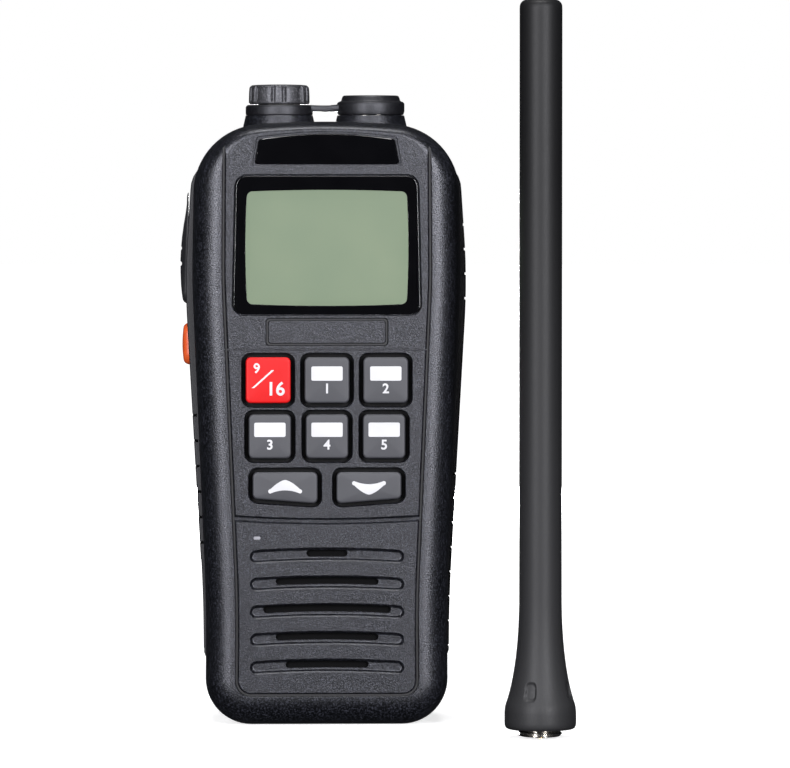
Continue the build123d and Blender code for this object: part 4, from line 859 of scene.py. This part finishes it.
def make_front_shell():
    """Front half of the case with every recess of its face."""
    skin = [(case_loop(), PARTING_Y)]
    skin += rounded_rows(FACE_Y + RAIL_DEPTH, FACE_Y, 0, RAIL_WIDTH, TOP_ROUND, 14)
    shell = layered("front_shell_look", skin, [case_plastic])
    wide, narrow = case_loop(WALL, WALL), case_loop(RAIL_WALL, RAIL_WALL)
    room = [(wide, PARTING_Y + 1), (wide, LEDGE_Y), (narrow, LEDGE_Y), (narrow, FACE_Y + FACE_WALL)]
    carved(shell, layered("room", room))

    def side_line(rim):
        return lambda grow: case_loop(rim - grow, -CROWN_Z / 2)

    line_outer, line_inner = 6.5, 7.1
    carved(shell, ring_recess(side_line(line_outer), side_line(line_inner), 0.6, 0.1, 0.26))
    divider_half, divider_z = 22.2, 82.0
    thin = [(0.32, -BURST), (0.2, 0.1), (0.16, 0.5), (-0.16, 0.5), (-0.2, 0.1), (-0.32, -BURST)]
    carved(shell, swept_recess([(-divider_half, divider_z), (divider_half, divider_z)], thin))
    valley = [(1.0, -BURST), (0.85, 0.0), (0.35, 0.5), (-0.25, 0.52)]
    valley += [(-0.42, 0.4), (-0.58, 0.0), (-0.66, -BURST)]
    bow_half, bow_z, sag, reach = 20.1, 46.1, 1.5, 30.0
    bow = []
    for i in range(33):
        x = bow_half * (2 * i / 32 - 1)
        bow.append((x, bow_z - sag * (1 - (x / reach) ** 2)))
    carved(shell, swept_recess(bow, valley))

    window_room = SEAT_GAP + 0.12
    carved(shell, recess(lambda grow: window_loop(window_room + grow), WINDOW_THICK + SEAT_GAP, 0.18))
    carved(shell, recess(lambda grow: plate_loop(0.45 + grow), 0.35, 0.1))
    carved(shell, recess(lambda grow: plate_loop(SEAT_GAP + grow), PLATE_THICK, 0.0))
    tag_outer = growing(box_loop, 0, TAG_Z, 26.4, 5.9, 0.8)
    tag_inner = growing(box_loop, 0, TAG_Z, 25.4, 4.9, 0.6)
    carved(shell, ring_recess(tag_outer, tag_inner, 0.35, 0.14, 0.1))
    for row, open_half in enumerate((4.5, 11.2, 13.9, 11.2, 9.05)):
        z = GRILLE_Z - row * GRILLE_PITCH
        carved(shell, recess(growing(slot_loop, 0, z, GRILLE_HALF, 2.4, GRILLE_ARCH), 0.85, 0.3, 0.5))
        arch = GRILLE_ARCH * (open_half / GRILLE_HALF) ** 2
        carved(shell, through(slot_loop(0, z + 0.4, open_half, 1.5, arch)))
    port_x, port_z = -15.2, 41.1
    port = recess(growing(slot_loop, port_x, port_z, 0.8, 0.75, 0.0), 0.3, 0.12)
    port.data.materials.append(case_plastic)
    port.data.materials.append(port_gauze)
    port.data.polygons[-1].material_index = 1
    carved(shell, port)
    carved(shell, through(box_loop(0, VIEW_Z, 36.4, 26.0, 1.2)))
    for _, *key in KEYS:
        carved(shell, key_well(key))
    groove = ((0.6, 1.0), (0.6, -0.8), (1.4, -0.8), (1.4, 1.0))
    seal = [(case_loop(rim, rim), PARTING_Y + sunk) for rim, sunk in groove]
    carved(shell, layered("seal_groove", seal, closed=True))
    settle(shell, "case", "front_shell", 28)


def through(loop):
    """Cutter that goes through the face into the room behind it."""
    return prism("through", loop, FACE_Y - BURST, LEDGE_Y)


def key_well(key):
    lead = 0.22
    rows = [(lead + BURST, -BURST), (lead * 0.35, lead * 0.35), (0.0, lead), (0.0, LEDGE_Y - FACE_Y)]
    return layered("well", [(key_loop(*key, KEY_GAP + grow), FACE_Y + sunk) for grow, sunk in rows])


# ---- display and plates


def bowed_loop(width, height):
    """Outline of the display glass, whose sides swell a little in their middles."""
    bow, longest = 0.38, 2.5
    half, tall = width / 2, height / 2
    loop = box_loop(0, 0, width, height, 1.1, 0, 8)
    out = []
    for (x, h), (nx, nh) in zip(loop, loop[1:] + loop[:1]):
        parts = max(1, ceil(hypot(nx - x, nh - h) / longest))
        for k in range(parts):
            px, ph = x + (nx - x) * k / parts, h + (nh - h) * k / parts
            swell_x = bow * (1 - (ph / tall) ** 2) * px / half
            swell_h = bow * (1 - (px / half) ** 2) * ph / tall
            out.append((px + swell_x, VIEW_Z + ph + swell_h))
    return out


def make_display():
    """Gloss window with the liquid-crystal glass showing through its clear middle."""
    back = FACE_Y + WINDOW_THICK
    rows = [(window_loop(-0.2), FACE_Y), (window_loop(-0.06), FACE_Y + 0.06)]
    rows += [(window_loop(), FACE_Y + 0.2), (window_loop(), back)]
    pane = layered("display_window_look", rows, [black_acrylic])
    carved(pane, prism("opening", bowed_loop(34.6, 24.4), FACE_Y - BURST, back + 1))
    lens = prism("lens", bowed_loop(34.56, 24.36), FACE_Y + 0.03, back, [lcd])
    settle(joined([pane, lens]), "case", "display_window")


def make_plate():
    rows = [(plate_loop(-0.12), FACE_Y), (plate_loop(), FACE_Y + 0.12), (plate_loop(), FACE_Y + PLATE_THICK)]
    plate = layered("name_plate_look", rows, [black_acrylic])
    settle(plate, "case", "name_plate")


# ---- keys


def key_blank(name, key, finish_material):
    """Key with a soft edge, a pillowed top, a flange behind the face and a stem."""
    x, z = key[:2]
    flange_y = FACE_Y + FACE_WALL + SEAT_GAP / 2
    brow = FACE_Y - KEY_PROUD + KEY_CROWN
    flange, plain = key_loop(*key, 1.15), key_loop(*key)
    rows = [(flange, flange_y + 0.7), (flange, flange_y), (plain, flange_y), (plain, brow + KEY_EDGE)]
    for s, c in quarter(5)[1:]:
        rows.append((key_loop(*key, -KEY_EDGE * (1 - c)), brow + KEY_EDGE - KEY_EDGE * s))
    top = key_loop(*key, -KEY_EDGE)
    for share in (0.9, 0.75, 0.55, 0.3, 0.08):
        rows.append((drawn_in(top, x, z, share), brow - KEY_CROWN * (1 - share**2)))
    blank = layered(name, rows, [finish_material])
    return carved(blank, prism("stem", circle(x, z, 1.5, 24), flange_y + 0.35, KEY_STEM_Y), "UNION")


def printed(blank, outlines):
    """Print on a key: each outline is taken from the key's own surface and stands a hair over it."""
    marks = []
    for mark in outlines:
        skin = placed("print", blank.data.copy())
        skin.data.transform(Matrix.Translation((0, -0.012, 0)))
        carved(skin, mark, "INTERSECT")
        skin.data.materials.clear()
        skin.data.materials.append(print_white)
        for face in skin.data.polygons:
            face.material_index = 0
        marks.append(skin)
    return joined([blank] + marks)


def mark_block(loop):
    return prism("mark", loop, FACE_Y - 2, FACE_Y - 0.2)


def figure(text, x, z, height, weight=0.06):
    """Solid numeral standing on the face, to be trimmed by the key's surface."""
    curve = bpy.data.curves.new("figure", "FONT")
    curve.body = text
    curve.align_x = "CENTER"
    curve.align_y = "CENTER"
    curve.size = height * 1.4
    curve.offset = weight
    curve.extrude = 0.9
    curve.resolution_u = 4
    holder = placed("figure", curve)
    data = baked(holder)
    bpy.data.objects.remove(holder)
    data.transform(Matrix.Translation((x, FACE_Y - 1.1, z)) @ Matrix.Rotation(pi / 2, 4, "X"))
    cleaned(data, 0.0005)
    return placed("figure", data)


def crescent(x, z, way):
    """Full curved arrow head with round ends, pointing up or down."""
    reach, centre_rise, end_rise, belly, sag = 3.2, 1.6, -0.4, -0.65, 0.7
    upper, lower = [], []
    for i in range(33):
        share = 2 * i / 32 - 1
        fall = abs(share) ** 1.55
        upper.append((reach * share, centre_rise + (end_rise - centre_rise) * fall))
        lower.append((reach * share, belly - sag * share**2))
    middle, radius = (end_rise + belly - sag) / 2, (end_rise - belly + sag) / 2
    right = [(reach + radius * sin(pi * i / 8), middle + radius * cos(pi * i / 8)) for i in range(1, 8)]
    left = [(-px, pz) for px, pz in reversed(right)]
    loop = upper + right + list(reversed(lower)) + left
    return [(x + px, z + way * pz) for px, pz in loop]


def make_keys():
    numbers = iter("12345")
    for name, *key in KEYS:
        x, z, side = key[0], key[1], key[4]
        slot = "red_rubber" if name == "red_key" else "key_rubber"
        blank = key_blank(name + "_look", key, FINISHES[slot])
        if name == "red_key":
            slash = [(x - 3.6, z - 1.7), (x - 3.05, z - 1.7), (x + 1.3, z + 2.2), (x + 0.75, z + 2.2)]
            marks = [figure("9", x - 2.5, z + 2.5, 2.1), mark_block(slash)]
            marks.append(figure("16", x + 1.6, z - 2.0, 2.9, 0.09))
        elif side:
            marks = [mark_block(crescent(x, z + 0.15, -side))]
        else:
            marks = [mark_block(box_loop(x, z + 1.45, 6.8, 3.1, 0.35))]
            marks.append(figure(next(numbers), x, z - 1.9, 2.1, 0.07))
        key_piece = printed(blank, marks)
        # Faces deeper than the face of the case, seen down the well, take near-black painted shade.
        key_piece.data.materials.append(web_rubber)
        for face in key_piece.data.polygons:
            if face.center.y > FACE_Y + 0.3:
                face.material_index = len(key_piece.data.materials) - 1
        settle(key_piece, name, name)


# ---- side grips and buttons


def wall_half(z):
    """Half width of the plain case at a height above the knee."""
    knee = KNEE_HALF - GRIP_STEP_FOOT - (GRIP_STEP_HIP - GRIP_STEP_FOOT) * KNEE_Z / HIP_Z
    hip = HIP_HALF - GRIP_STEP_HIP
    if z > HIP_Z:
        return hip + (SHOULDER_HALF - GRIP_STEP_SHOULDER - hip) * (z - HIP_Z) / (SHOULDER_Z - HIP_Z)
    return knee + (hip - knee) * (z - KNEE_Z) / (HIP_Z - KNEE_Z)


def edge_at(loop, z):
    """Half width of an outline at a height, from its right-hand side."""
    found = []
    for (x, low), (nx, high) in zip(loop, loop[1:] + loop[:1]):
        if x > 0 and nx > 0 and low != high and min(low, high) <= z <= max(low, high):
            found.append(x + (nx - x) * (z - low) / (high - low))
    return max(found)


def make_grip(side):
    """Rubber side grip with rounded borders and short notches."""
    outer, inner = case_loop(gripped=True), case_loop()
    low, high, rows = 14.0, 121.0, 72
    front, back = PARTING_Y + 0.02, BAY_Y - 0.02
    sections = []
    for i in range(rows + 1):
        z = low + (high - low) * i / rows
        in_x = edge_at(inner, z) + 0.01
        ending = min(1.0, (high - z) / 3.0, (z - low) / 1.5)
        thick = (edge_at(outer, z) - in_x) * (0.08 + 0.92 * sqrt(ending))
        soft = min(0.45, thick * 0.6)
        bend_x = in_x + thick - soft
        section = [(in_x, front), (in_x, back)]
        section += [(bend_x + soft * s, back - soft + soft * c) for s, c in quarter(4)]
        section += [(bend_x + soft * c, front + soft - soft * s) for s, c in quarter(4)]
        sections.append([(side * x, y, z) for x, y in section])
    hand = "right" if side > 0 else "left"
    grip = lofted(hand + "_grip_look", sections, [grip_rubber])
    for start, count, pitch in [(16.4, 8, 5.4), (92.8, 5, 5.4)] if side > 0 else [(39.2, 6, 5.6)]:
        sizes = {"Count": count, "Low height": start, "Pitch": pitch, "Side": float(side)}
        # The notch walls take the near-black painted-shade finish.
        carved(grip, grown("notches", NOTCH_ROW, sizes, notch_black))
    if side < 0:
        panel = {"Count": 1, "Low height": 24.0, "Height": 23.0, "Proud": 1.75, "Side": float(side)}
        carved(grip, grown("long_notch", NOTCH_ROW, panel, grip_rubber))
        for size, z, corner in (TALK, ALERT):
            loop = box_loop(SIDE_Y, z, *size, corner, RUN_GAP, 8)
            carved(grip, across_width("button_hole", loop, -34.0, -20.0))
    settle(grip, "case", hand + "_grip")


def side_cap(name, place, travel, edge, crown, bow, finish_material):
    """Side button: soft-edged pillowed cap on a stem with a retaining lip."""
    size, z, corner = place
    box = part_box(name)
    outer, lip_end = box[0].x / MM, box[1].x / MM
    back = -(wall_half(z) + RUN_GAP) - travel - SEAT_GAP

    def loop(grow):
        return box_loop(SIDE_Y, z, *size, corner, grow, 8)

    def bowed(h):
        """How far the button's outer side leans in with the case, over and under its middle."""
        over, under = max(0.0, h - z + 5.0) / 17.0, max(0.0, z - 7.0 - h) / 5.2
        return bow * (over**2 + 0.2 * under**2)

    def at(x, ring):
        """A section at depth x; its ends lean in with the case and stay clear of it when pressed."""
        share = max(0.0, (back - x) / (back - outer))
        base = [-(wall_half(h) + travel + 0.2) for _, h in ring]
        if share == 0.0:
            return [(x if x > back else foot, y, h) for (y, h), foot in zip(ring, base)]
        skin = [min(outer + bowed(h), foot - 0.4) for (_, h), foot in zip(ring, base)]
        return [(foot + share * (top - foot), y, h) for (y, h), foot, top in zip(ring, base, skin)]

    brow = outer + crown
    sections = [at(back, loop(0.0)), at(brow + edge, loop(0.0))]
    for s, c in quarter(6)[1:]:
        sections.append(at(brow + edge - edge * s, loop(-edge * (1 - c))))
    for share in (0.9, 0.75, 0.5, 0.25, 0.06):
        sections.append(at(brow - crown * (1 - share**2), drawn_in(loop(-edge), SIDE_Y, z, share)))
    cap = lofted(name + "_look", sections, [finish_material])
    for part, start, grow in (("stem", back - 0.5, 0.0), ("lip", lip_end - 0.8, 0.8)):
        ring = box_loop(SIDE_Y, z, 3.6, 5.0, 0.5, grow)
        carved(cap, lofted(part, [at(start, ring), at(lip_end, ring)]), "UNION")
    return cap, outer


def make_side_buttons():
    talk, outer = side_cap("talk_button", TALK, 1.0, 1.1, 0.25, 2.1, talk_rubber)
    carved(talk, grown("finger_ribs", RIB_STACK, {"Across": outer - 0.2}, talk_rubber))
    settle(talk, "talk_button", "talk_button")
    alert, _ = side_cap("alert_button", ALERT, 0.8, 1.2, 0.2, 0.0, orange_rubber)
    settle(alert, "alert_button", "alert_button")


# ---- knob, strap and cap


def make_knob():
    """Knob with broad and narrow lobes in turn, a domed top and a hollow underside."""
    radius, low, top = 6.7, 135.5, 139.8
    middle = (KNOB_X, TOP_Y)
    sector, valleys, valley_half = 60.0, (-12.0, 9.0), 4.6

    def fluted(r, height, angle):
        turns = [degrees(angle) - valley + sector / 2 for valley in valleys]
        nearest = min(abs(turn % sector - sector / 2) for turn in turns)
        depth = 0.12 * clamp(1 - nearest / 11) + 0.62 * clamp(1 - (nearest / valley_half) ** 2)
        fade = clamp((top - 0.2 - height) / 0.6) * clamp(r - 5.2) * clamp((height - low - 0.25) / 0.5)
        return r - depth * fade

    rim = [(radius - 0.35, low), (radius - 0.1, low + 0.12), (radius, low + 0.4)]
    rim += [(radius, low + 0.4 + 0.2 * i) for i in range(1, 6)] + [(radius - 0.04, low + 2.6)]
    rim += [(radius - 0.1 - 0.9 * (1 - c), top - 0.12 - 0.9 + 0.9 * s) for s, c in quarter(6)]
    rim += [(5.0, top - 0.06), (3.6, top - 0.01), (1.8, top), (0.3, top)]
    knob = turned("volume_knob_look", rim, middle, [knob_rubber], 256, fluted)
    hollow = turned("hollow", [(4.9, low - 1), (4.9, 136.6), (2.92, 136.6), (2.92, 138.4)], middle, (), 48)
    carved(knob, hollow)
    settle(knob, "knob", "volume_knob", 38)


def make_tether():
    """Rubber collar round the knob's post, and the strap between it and the cap."""
    inner, outer, low, high = 4.9, 7.4, 133.0, 135.3
    line = [(inner, low), (outer - 0.35, low), (outer - 0.1, low + 0.1), (outer, low + 0.35)]
    line += [(outer, high - 0.6), (outer - 0.12, high - 0.25), (outer - 0.45, high), (inner, high)]
    collar = turned("tether_collar_look", line, (KNOB_X, TOP_Y), [cap_rubber], 72, closed=True)
    settle(collar, "case", "cap_tether")
    start_x, length, z, width, thick, parts = -4.0, 7.6, 134.62, 4.2, 1.44, 18
    sections = []
    for i in range(parts + 1):
        waist = sin(pi * i / parts)
        ring = box_loop(TOP_Y, z - 0.12 * waist, width - 0.5 * waist, thick, 0.4, 0, 4)
        sections.append(at_width(ring, start_x + length * i / parts))
    strap = lofted("tether_strap_look", sections, [cap_rubber])
    shaded(strap, 40)
    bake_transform(strap)


def make_cap():
    """Socket cap: a bevelled hat with a raised rim and the lug that its strap grows into."""
    radius, low, top = 7.45, 133.06, 137.4
    line = [(radius - 0.45, low), (radius - 0.2, low + 0.2), (radius, low + 0.9), (radius, 135.5)]
    line += [(radius - 0.12, 135.8), (radius - 0.4, 136.0), (radius - 0.75, 136.12), (radius - 0.95, 136.3)]
    line += [(radius - 1.1, 136.9), (radius - 1.3, 137.25), (radius - 1.6, top), (5.0, top), (4.8, top - 0.2)]
    line += [(2.4, top - 0.2), (0.3, top - 0.2)]
    hat = turned("socket_cap_look", line, (SOCKET_X, TOP_Y), [cap_rubber], 96)
    carved(hat, turned("skirt_room", [(6.45, low - 1), (6.45, 133.75)], (SOCKET_X, TOP_Y), (), 64))
    widths = ((1.2, 3.8, 1.1), (2.2, 4.2, 1.24), (3.6, 5.2, 1.6), (5.5, 6.4, 2.1))
    lug = [at_width(box_loop(TOP_Y, 134.75, width, rise, 0.4, 0, 4), x) for x, width, rise in widths]
    carved(hat, lofted("lug", lug), "UNION")
    settle(hat, "cap", "socket_cap", 35)


# ---- antenna


def make_antenna():
    """Rubber sheath with a flared skirt whose thumb notches help to screw it in, and its stud."""
    middle = (ANTENNA_X, ANTENNA_Y)
    low, flare_z, flare_top, top, end_round = 2.0, 7.3, 30.2, 157.1, 1.6
    thumb_z, thumb_r, thumb_half, thumb_tall, thumb_depth, squareness = 10.3, 6.8, 1.35, 2.0, 0.55, 3.2
    profile = [(4.75, low + 0.02), (7.0, low + 0.02), (7.4, low + 0.25), (7.61, low + 0.8), (7.66, low + 1.6)]
    profile += [(7.64, 5.6), (7.54, 6.6), (7.38, flare_z)]
    start, end = Vector((7.38, flare_z)), Vector((SHEATH_R, flare_top))
    leave, arrive = Vector((-6.0, 17.0)), Vector((0.0, 26.0))
    for i in range(1, 33):
        t = i / 32
        point = start * (2 * t**3 - 3 * t**2 + 1) + leave * (t**3 - 2 * t**2 + t)
        point += end * (3 * t**2 - 2 * t**3) + arrive * (t**3 - t**2)
        profile.append((max(point.x, SHEATH_R), point.y))
    profile += [(SHEATH_R, flare_top + (top - 2.0 - flare_top) * i / 30) for i in range(1, 31)]
    profile += [(SHEATH_R - end_round * (1 - c), top - end_round + end_round * s) for s, c in quarter(7)[1:]]
    profile += [(2.0, top), (0.3, top)]

    def thumbed(r, height, angle):
        """Four rounded notches, which get shallower upwards."""
        upright = abs(height - thumb_z) / thumb_tall
        lean = max(0.2, clamp(1.0 - (height - thumb_z) / 4.2))
        depth = 0.0
        for turn in range(4):
            swing = (angle + radians(90 * turn - 68) + pi) % (2 * pi) - pi
            across = abs(swing) * thumb_r / thumb_half
            reach = (across**squareness + upright**squareness) ** (1 / squareness)
            fade = clamp((1.08 - reach) / 0.3)
            depth = max(depth, thumb_depth * fade * fade * (3 - 2 * fade) * lean)
        return r - depth

    dense = []
    for (r0, h0), (r1, h1) in zip(profile, profile[1:]):
        parts = max(1, ceil((h1 - h0) / 0.22)) if 7.4 <= h0 < 13.5 else 1
        dense += [(r0 + (r1 - r0) * k / parts, h0 + (h1 - h0) * k / parts) for k in range(parts)]
    dense.append(profile[-1])
    sheath = turned("antenna_sheath_look", dense, middle, [antenna_rubber], 240, thumbed)
    carved(sheath, turned("bore", [(4.7, low - 1), (4.7, 9.0), (1.6, 9.0), (1.6, 149.6)], middle, (), 64))
    settle(sheath, "antenna", "antenna_sheath", 40)

    def threaded(r, height, angle):
        if r < 4.5 or height > 8.9:
            return r
        phase = (height / 0.8 + angle / (2 * pi)) % 1.0
        return r - 0.42 * abs(2 * phase - 1)

    thread = [(4.69, 0.55 + 0.1 * i) for i in range(16)]
    line = [(3.2, 0.4), (4.1, 0.4)] + thread + [(4.69, 9.0), (3.2, 9.0)]
    stud = turned("antenna_stud_look", line, middle, [nickel], 96, threaded, closed=True)
    settle(stud, "antenna", "antenna_stud", 60)


# ---- battery pack and belt clip


def disc(x, z, radius, front, back):
    """Round plug or cutter that lies along the depth."""
    return prism("disc", circle(x, z, radius, 48), front, back)


def bars(x, y, z, count, pitch, radius, length, finish_material):
    """Round bars along the width, one over another, which sink grip lines into a back."""
    sizes = {"Across": x, "Centre depth": y, "Middle height": z, "Count": count, "Pitch": pitch}
    sizes.update({"Radius": radius, "Length": length, "Turn": pi / 2})
    return grown("grip_lines", RIB_STACK, sizes, finish_material)


def make_pack():
    """Tub of the battery pack with grip lines and a sunken frame round the clip's bracket."""
    front, rim, wall, top, round_y = BAY_Y + 0.15, 1.2, 2.0, 87.75, 4.0
    skin = [(case_loop(rim, rim), front)]
    skin += rounded_rows(BACK_Y - round_y, BACK_Y, rim, round_y, round_y, 10)
    tub = layered("battery_case_look", skin, [case_plastic])

    def over(z):
        return prism("over", box_loop(0, z + 40, 90, 80, 0.1), 0.0, 30.0)

    carved(tub, over(top))
    room = prism("room", case_loop(rim + wall, rim + wall), front - 1, BACK_Y - wall)
    carved(tub, carved(room, over(top - wall)))
    lock_z, head_seat = 12.0, BACK_Y - 2.1
    carved(tub, disc(0, lock_z, 5.6, front + 1.5, BACK_Y - 1.0), "UNION")
    carved(tub, disc(0, lock_z, 4.9, head_seat, BACK_Y + 1))
    carved(tub, disc(0, lock_z, 2.05, front - 1, head_seat + 1))
    for side in (-1, 1):
        carved(tub, disc(side * 16.0, lock_z, 2.1, BACK_Y - 0.9, BACK_Y + 1))
        carved(tub, disc(side * 7.5, 61.0, 1.35, BACK_Y - wall - 1, BACK_Y + 1))
        carved(tub, bars(side * 19.0, BACK_Y + 0.35, 75.0, 5, 2.6, 0.9, 5.0, case_plastic))
    frame_outer = growing(box_loop, 0, 50.0, 31.0, 62.0, 4.0)
    frame_inner = growing(box_loop, 0, 50.0, 29.8, 60.8, 3.4)
    carved(tub, ring_recess(frame_outer, frame_inner, 0.4, 0.12, 0.12, BACK_Y, -1))
    settle(tub, "pack", "battery_case", 30)


def make_clip():
    """Belt clip: a crowned leaf that bends to a rounded foot, with a sunken panel and thumb lines."""
    half, low, top, inner_y, outer_y = 9.5, 22.0, 84.0, 25.5, 27.3
    foot_z, foot_half, foot_reach = 24.4, 3.8, 6.7
    ear_r, ear_thick, pin_hole = 2.4, 2.2, 1.25

    def foot_bend(z):
        away = abs(z - foot_z) / foot_half
        return foot_reach * cos(pi / 2 * away) ** 2 if away < 1 else 0.0

    def side_view(inset):
        outer, inner = [], []
        for i in range(61):
            z = low + inset + (top - low - 2 * inset) * i / 60
            bow = 0.5 * ((z - 50.0) / 34.0) ** 2
            outer.append((outer_y - inset - bow - 0.78 * foot_bend(z), z))
            inner.append((inner_y + inset - foot_bend(z), z))
        return outer + list(reversed(inner))

    sections, edge = [], 0.55
    for side in (-1, 1):
        row = [at_width(side_view(edge * (1 - s)), side * (half - edge + edge * c)) for s, c in quarter(5)]
        sections += row[::-side]
    leaf = lofted("belt_clip_look", sections, [black_plastic])
    plan = rounded_loop([(-half, low, 6.0), (half, low, 6.0), (half, top, 2.6), (-half, top, 2.6)], 10)
    carved(leaf, prism("plan", plan, inner_y - 8, outer_y + 1), "INTERSECT")
    rows = ((0.8, outer_y + 0.4), (0.0, outer_y - 0.45), (-0.1, outer_y - 0.55))
    carved(leaf, layered("panel", [(box_loop(0, 48.5, 12.4, 33.0, 2.2, grow), y) for grow, y in rows]))
    carved(leaf, bars(0.0, outer_y + 0.1, 75.8, 5, 2.3, 0.75, 12.0, black_plastic))
    for side in (-1, 1):
        arc = [(HINGE_Y - ear_r * sin(pi * i / 16), HINGE_Z + ear_r * cos(pi * i / 16)) for i in range(17)]
        ear = arc + [(inner_y + 0.6, HINGE_Z - ear_r), (inner_y + 0.6, HINGE_Z + ear_r)]
        carved(leaf, across_width("ear", ear, side * half, side * (half - ear_thick)), "UNION")
    carved(leaf, across_width("pin_hole", circle(HINGE_Y, HINGE_Z, pin_hole, 32), -half - 1, half + 1))
    settle(leaf, "clip", "belt_clip", 32)


def make_clip_spring():
    coil = grown("clip_spring_look", WOUND_WIRE, {}, spring_steel)
    coil.data.transform(Matrix.Translation((-2.65, HINGE_Y, HINGE_Z)) @ Matrix.Rotation(pi / 2, 4, "Y"))
    settle(coil, "pack", "clip_spring", 60)


# ---- build


def dress_carried_nodes():
    """Every node that stays as it is gets the finish of its material slot."""
    for piece in frame["record"]["subparts"]:
        obj = nodes[piece["node"]]
        slot_name = piece["material_slot"]
        finish_material = FINISHES[OTHER_FINISH.get(slot_name, slot_name)]
        if not obj.material_slots:
            obj.data.materials.append(finish_material)
        for slot in obj.material_slots:
            slot.material = finish_material


def light(name, place, aim_z, size, power, shade=(1.0, 1.0, 1.0)):
    """Soft lamp that looks at a height over the middle of the floor."""
    lamp = bpy.data.lights.new(name, "AREA")
    lamp.shape = "RECTANGLE"
    lamp.size, lamp.size_y = size
    lamp.energy = power
    lamp.color = shade
    holder = placed(name, lamp)
    holder.location = place
    holder.rotation_euler = (Vector((0, 0, aim_z)) - Vector(place)).to_track_quat("-Z", "Y").to_euler()


def make_studio():
    """Plain pale floor in dim surroundings, with lamps at both sides, before, over and behind."""
    data = bpy.data.meshes.new("floor")
    half, level = 6.0, -0.00005
    corners = [(-half, -half, level), (half, -half, level), (half, half, level), (-half, half, level)]
    data.from_pydata(corners, [], [(0, 1, 2, 3)])
    floor = placed("floor", data)
    floor.visible_glossy = False
    floor.visible_diffuse = False

    def pale(w):
        soft = w.grain(400.0, 2.0)
        reach = w.node("ShaderNodeVectorMath", {"operation": "LENGTH"}, {0: w.place()}, "Value")
        span = {"Value": reach, "From Min": 0.16, "From Max": 0.7}
        far = w.node("ShaderNodeMapRange", {"interpolation_type": "SMOOTHSTEP"}, span)
        return {
            "Base Color": w.mixed(soft, (0.7, 0.7, 0.7), (0.72, 0.72, 0.72)),
            "Roughness": soft.spread(0.85, 0.95),
            "Specular IOR Level": 0.0,
            # Painted shade: the floor glows less near the middle, so it reads darker round the object, and
            # brighter far off.
            "Emission Color": w.mixed(far, (0.72, 0.72, 0.72), (1.1, 1.1, 1.1)),
            "Emission Strength": 1.0,
        }

    data.materials.append(finish("pale_floor", pale))

    world = bpy.data.worlds.new("studio")
    bpy.context.scene.world = world
    world.use_nodes = True
    world.node_tree.nodes.clear()
    w = Wire(world.node_tree)
    seen = w.node("ShaderNodeLightPath", output="Is Camera Ray")
    white = w.node("ShaderNodeBackground", inputs={"Color": (1.0, 1.0, 1.0, 1.0), "Strength": 1.0})
    dim = w.node("ShaderNodeBackground", inputs={"Color": (0.86, 0.9, 1.0, 1.0), "Strength": 0.03})
    backdrop = w.node("ShaderNodeMixShader", inputs={0: seen, 1: dim, 2: white})
    w.node("ShaderNodeOutputWorld", inputs={"Surface": backdrop})
    cool = (0.96, 0.96, 1.0)
    light("left_lamp", (-0.47, -0.92, 0.2), 0.08, (0.06, 0.6), 11.5, cool)
    light("right_lamp", (0.44, -0.9, 0.2), 0.08, (0.06, 0.6), 11.5, cool)
    light("face_lamp", (0.0, -0.9, 0.5), 0.05, (0.4, 0.25), 1.9, cool)
    light("crown_lamp", (0.0, -0.1, 1.1), 0.1, (0.5, 0.14), 7.0)
    light("back_lamp", (0.0, 0.9, 0.06), 0.06, (0.05, 0.1), 8.0)


def make_camera():
    """Long lens a little to the left of the face and a little over its middle."""
    azimuth, elevation, distance = radians(-1.5), radians(2.2), 1.2
    centre = Vector((15.0, -10.0, 74.2)) * MM
    offset = Vector((sin(azimuth) * cos(elevation), -cos(azimuth) * cos(elevation), sin(elevation)))
    lens = bpy.data.cameras.new("camera")
    lens.sensor_fit = "HORIZONTAL"
    lens.sensor_width = 36.0
    lens.lens = 250.0
    lens.clip_start = 0.01
    lens.clip_end = 50.0
    camera = placed("camera", lens)
    camera.location = centre + offset * distance
    camera.rotation_euler = (-offset).to_track_quat("-Z", "Y").to_euler()
    bpy.context.scene.camera = camera


bpy.context.scene.view_settings.view_transform = "Standard"
make_camera()
make_studio()
dress_carried_nodes()
make_front_shell()
make_display()
make_plate()
make_keys()
make_grip(1)
make_grip(-1)
make_side_buttons()
make_knob()
make_tether()
make_cap()
make_antenna()
make_pack()
make_clip()
make_clip_spring()
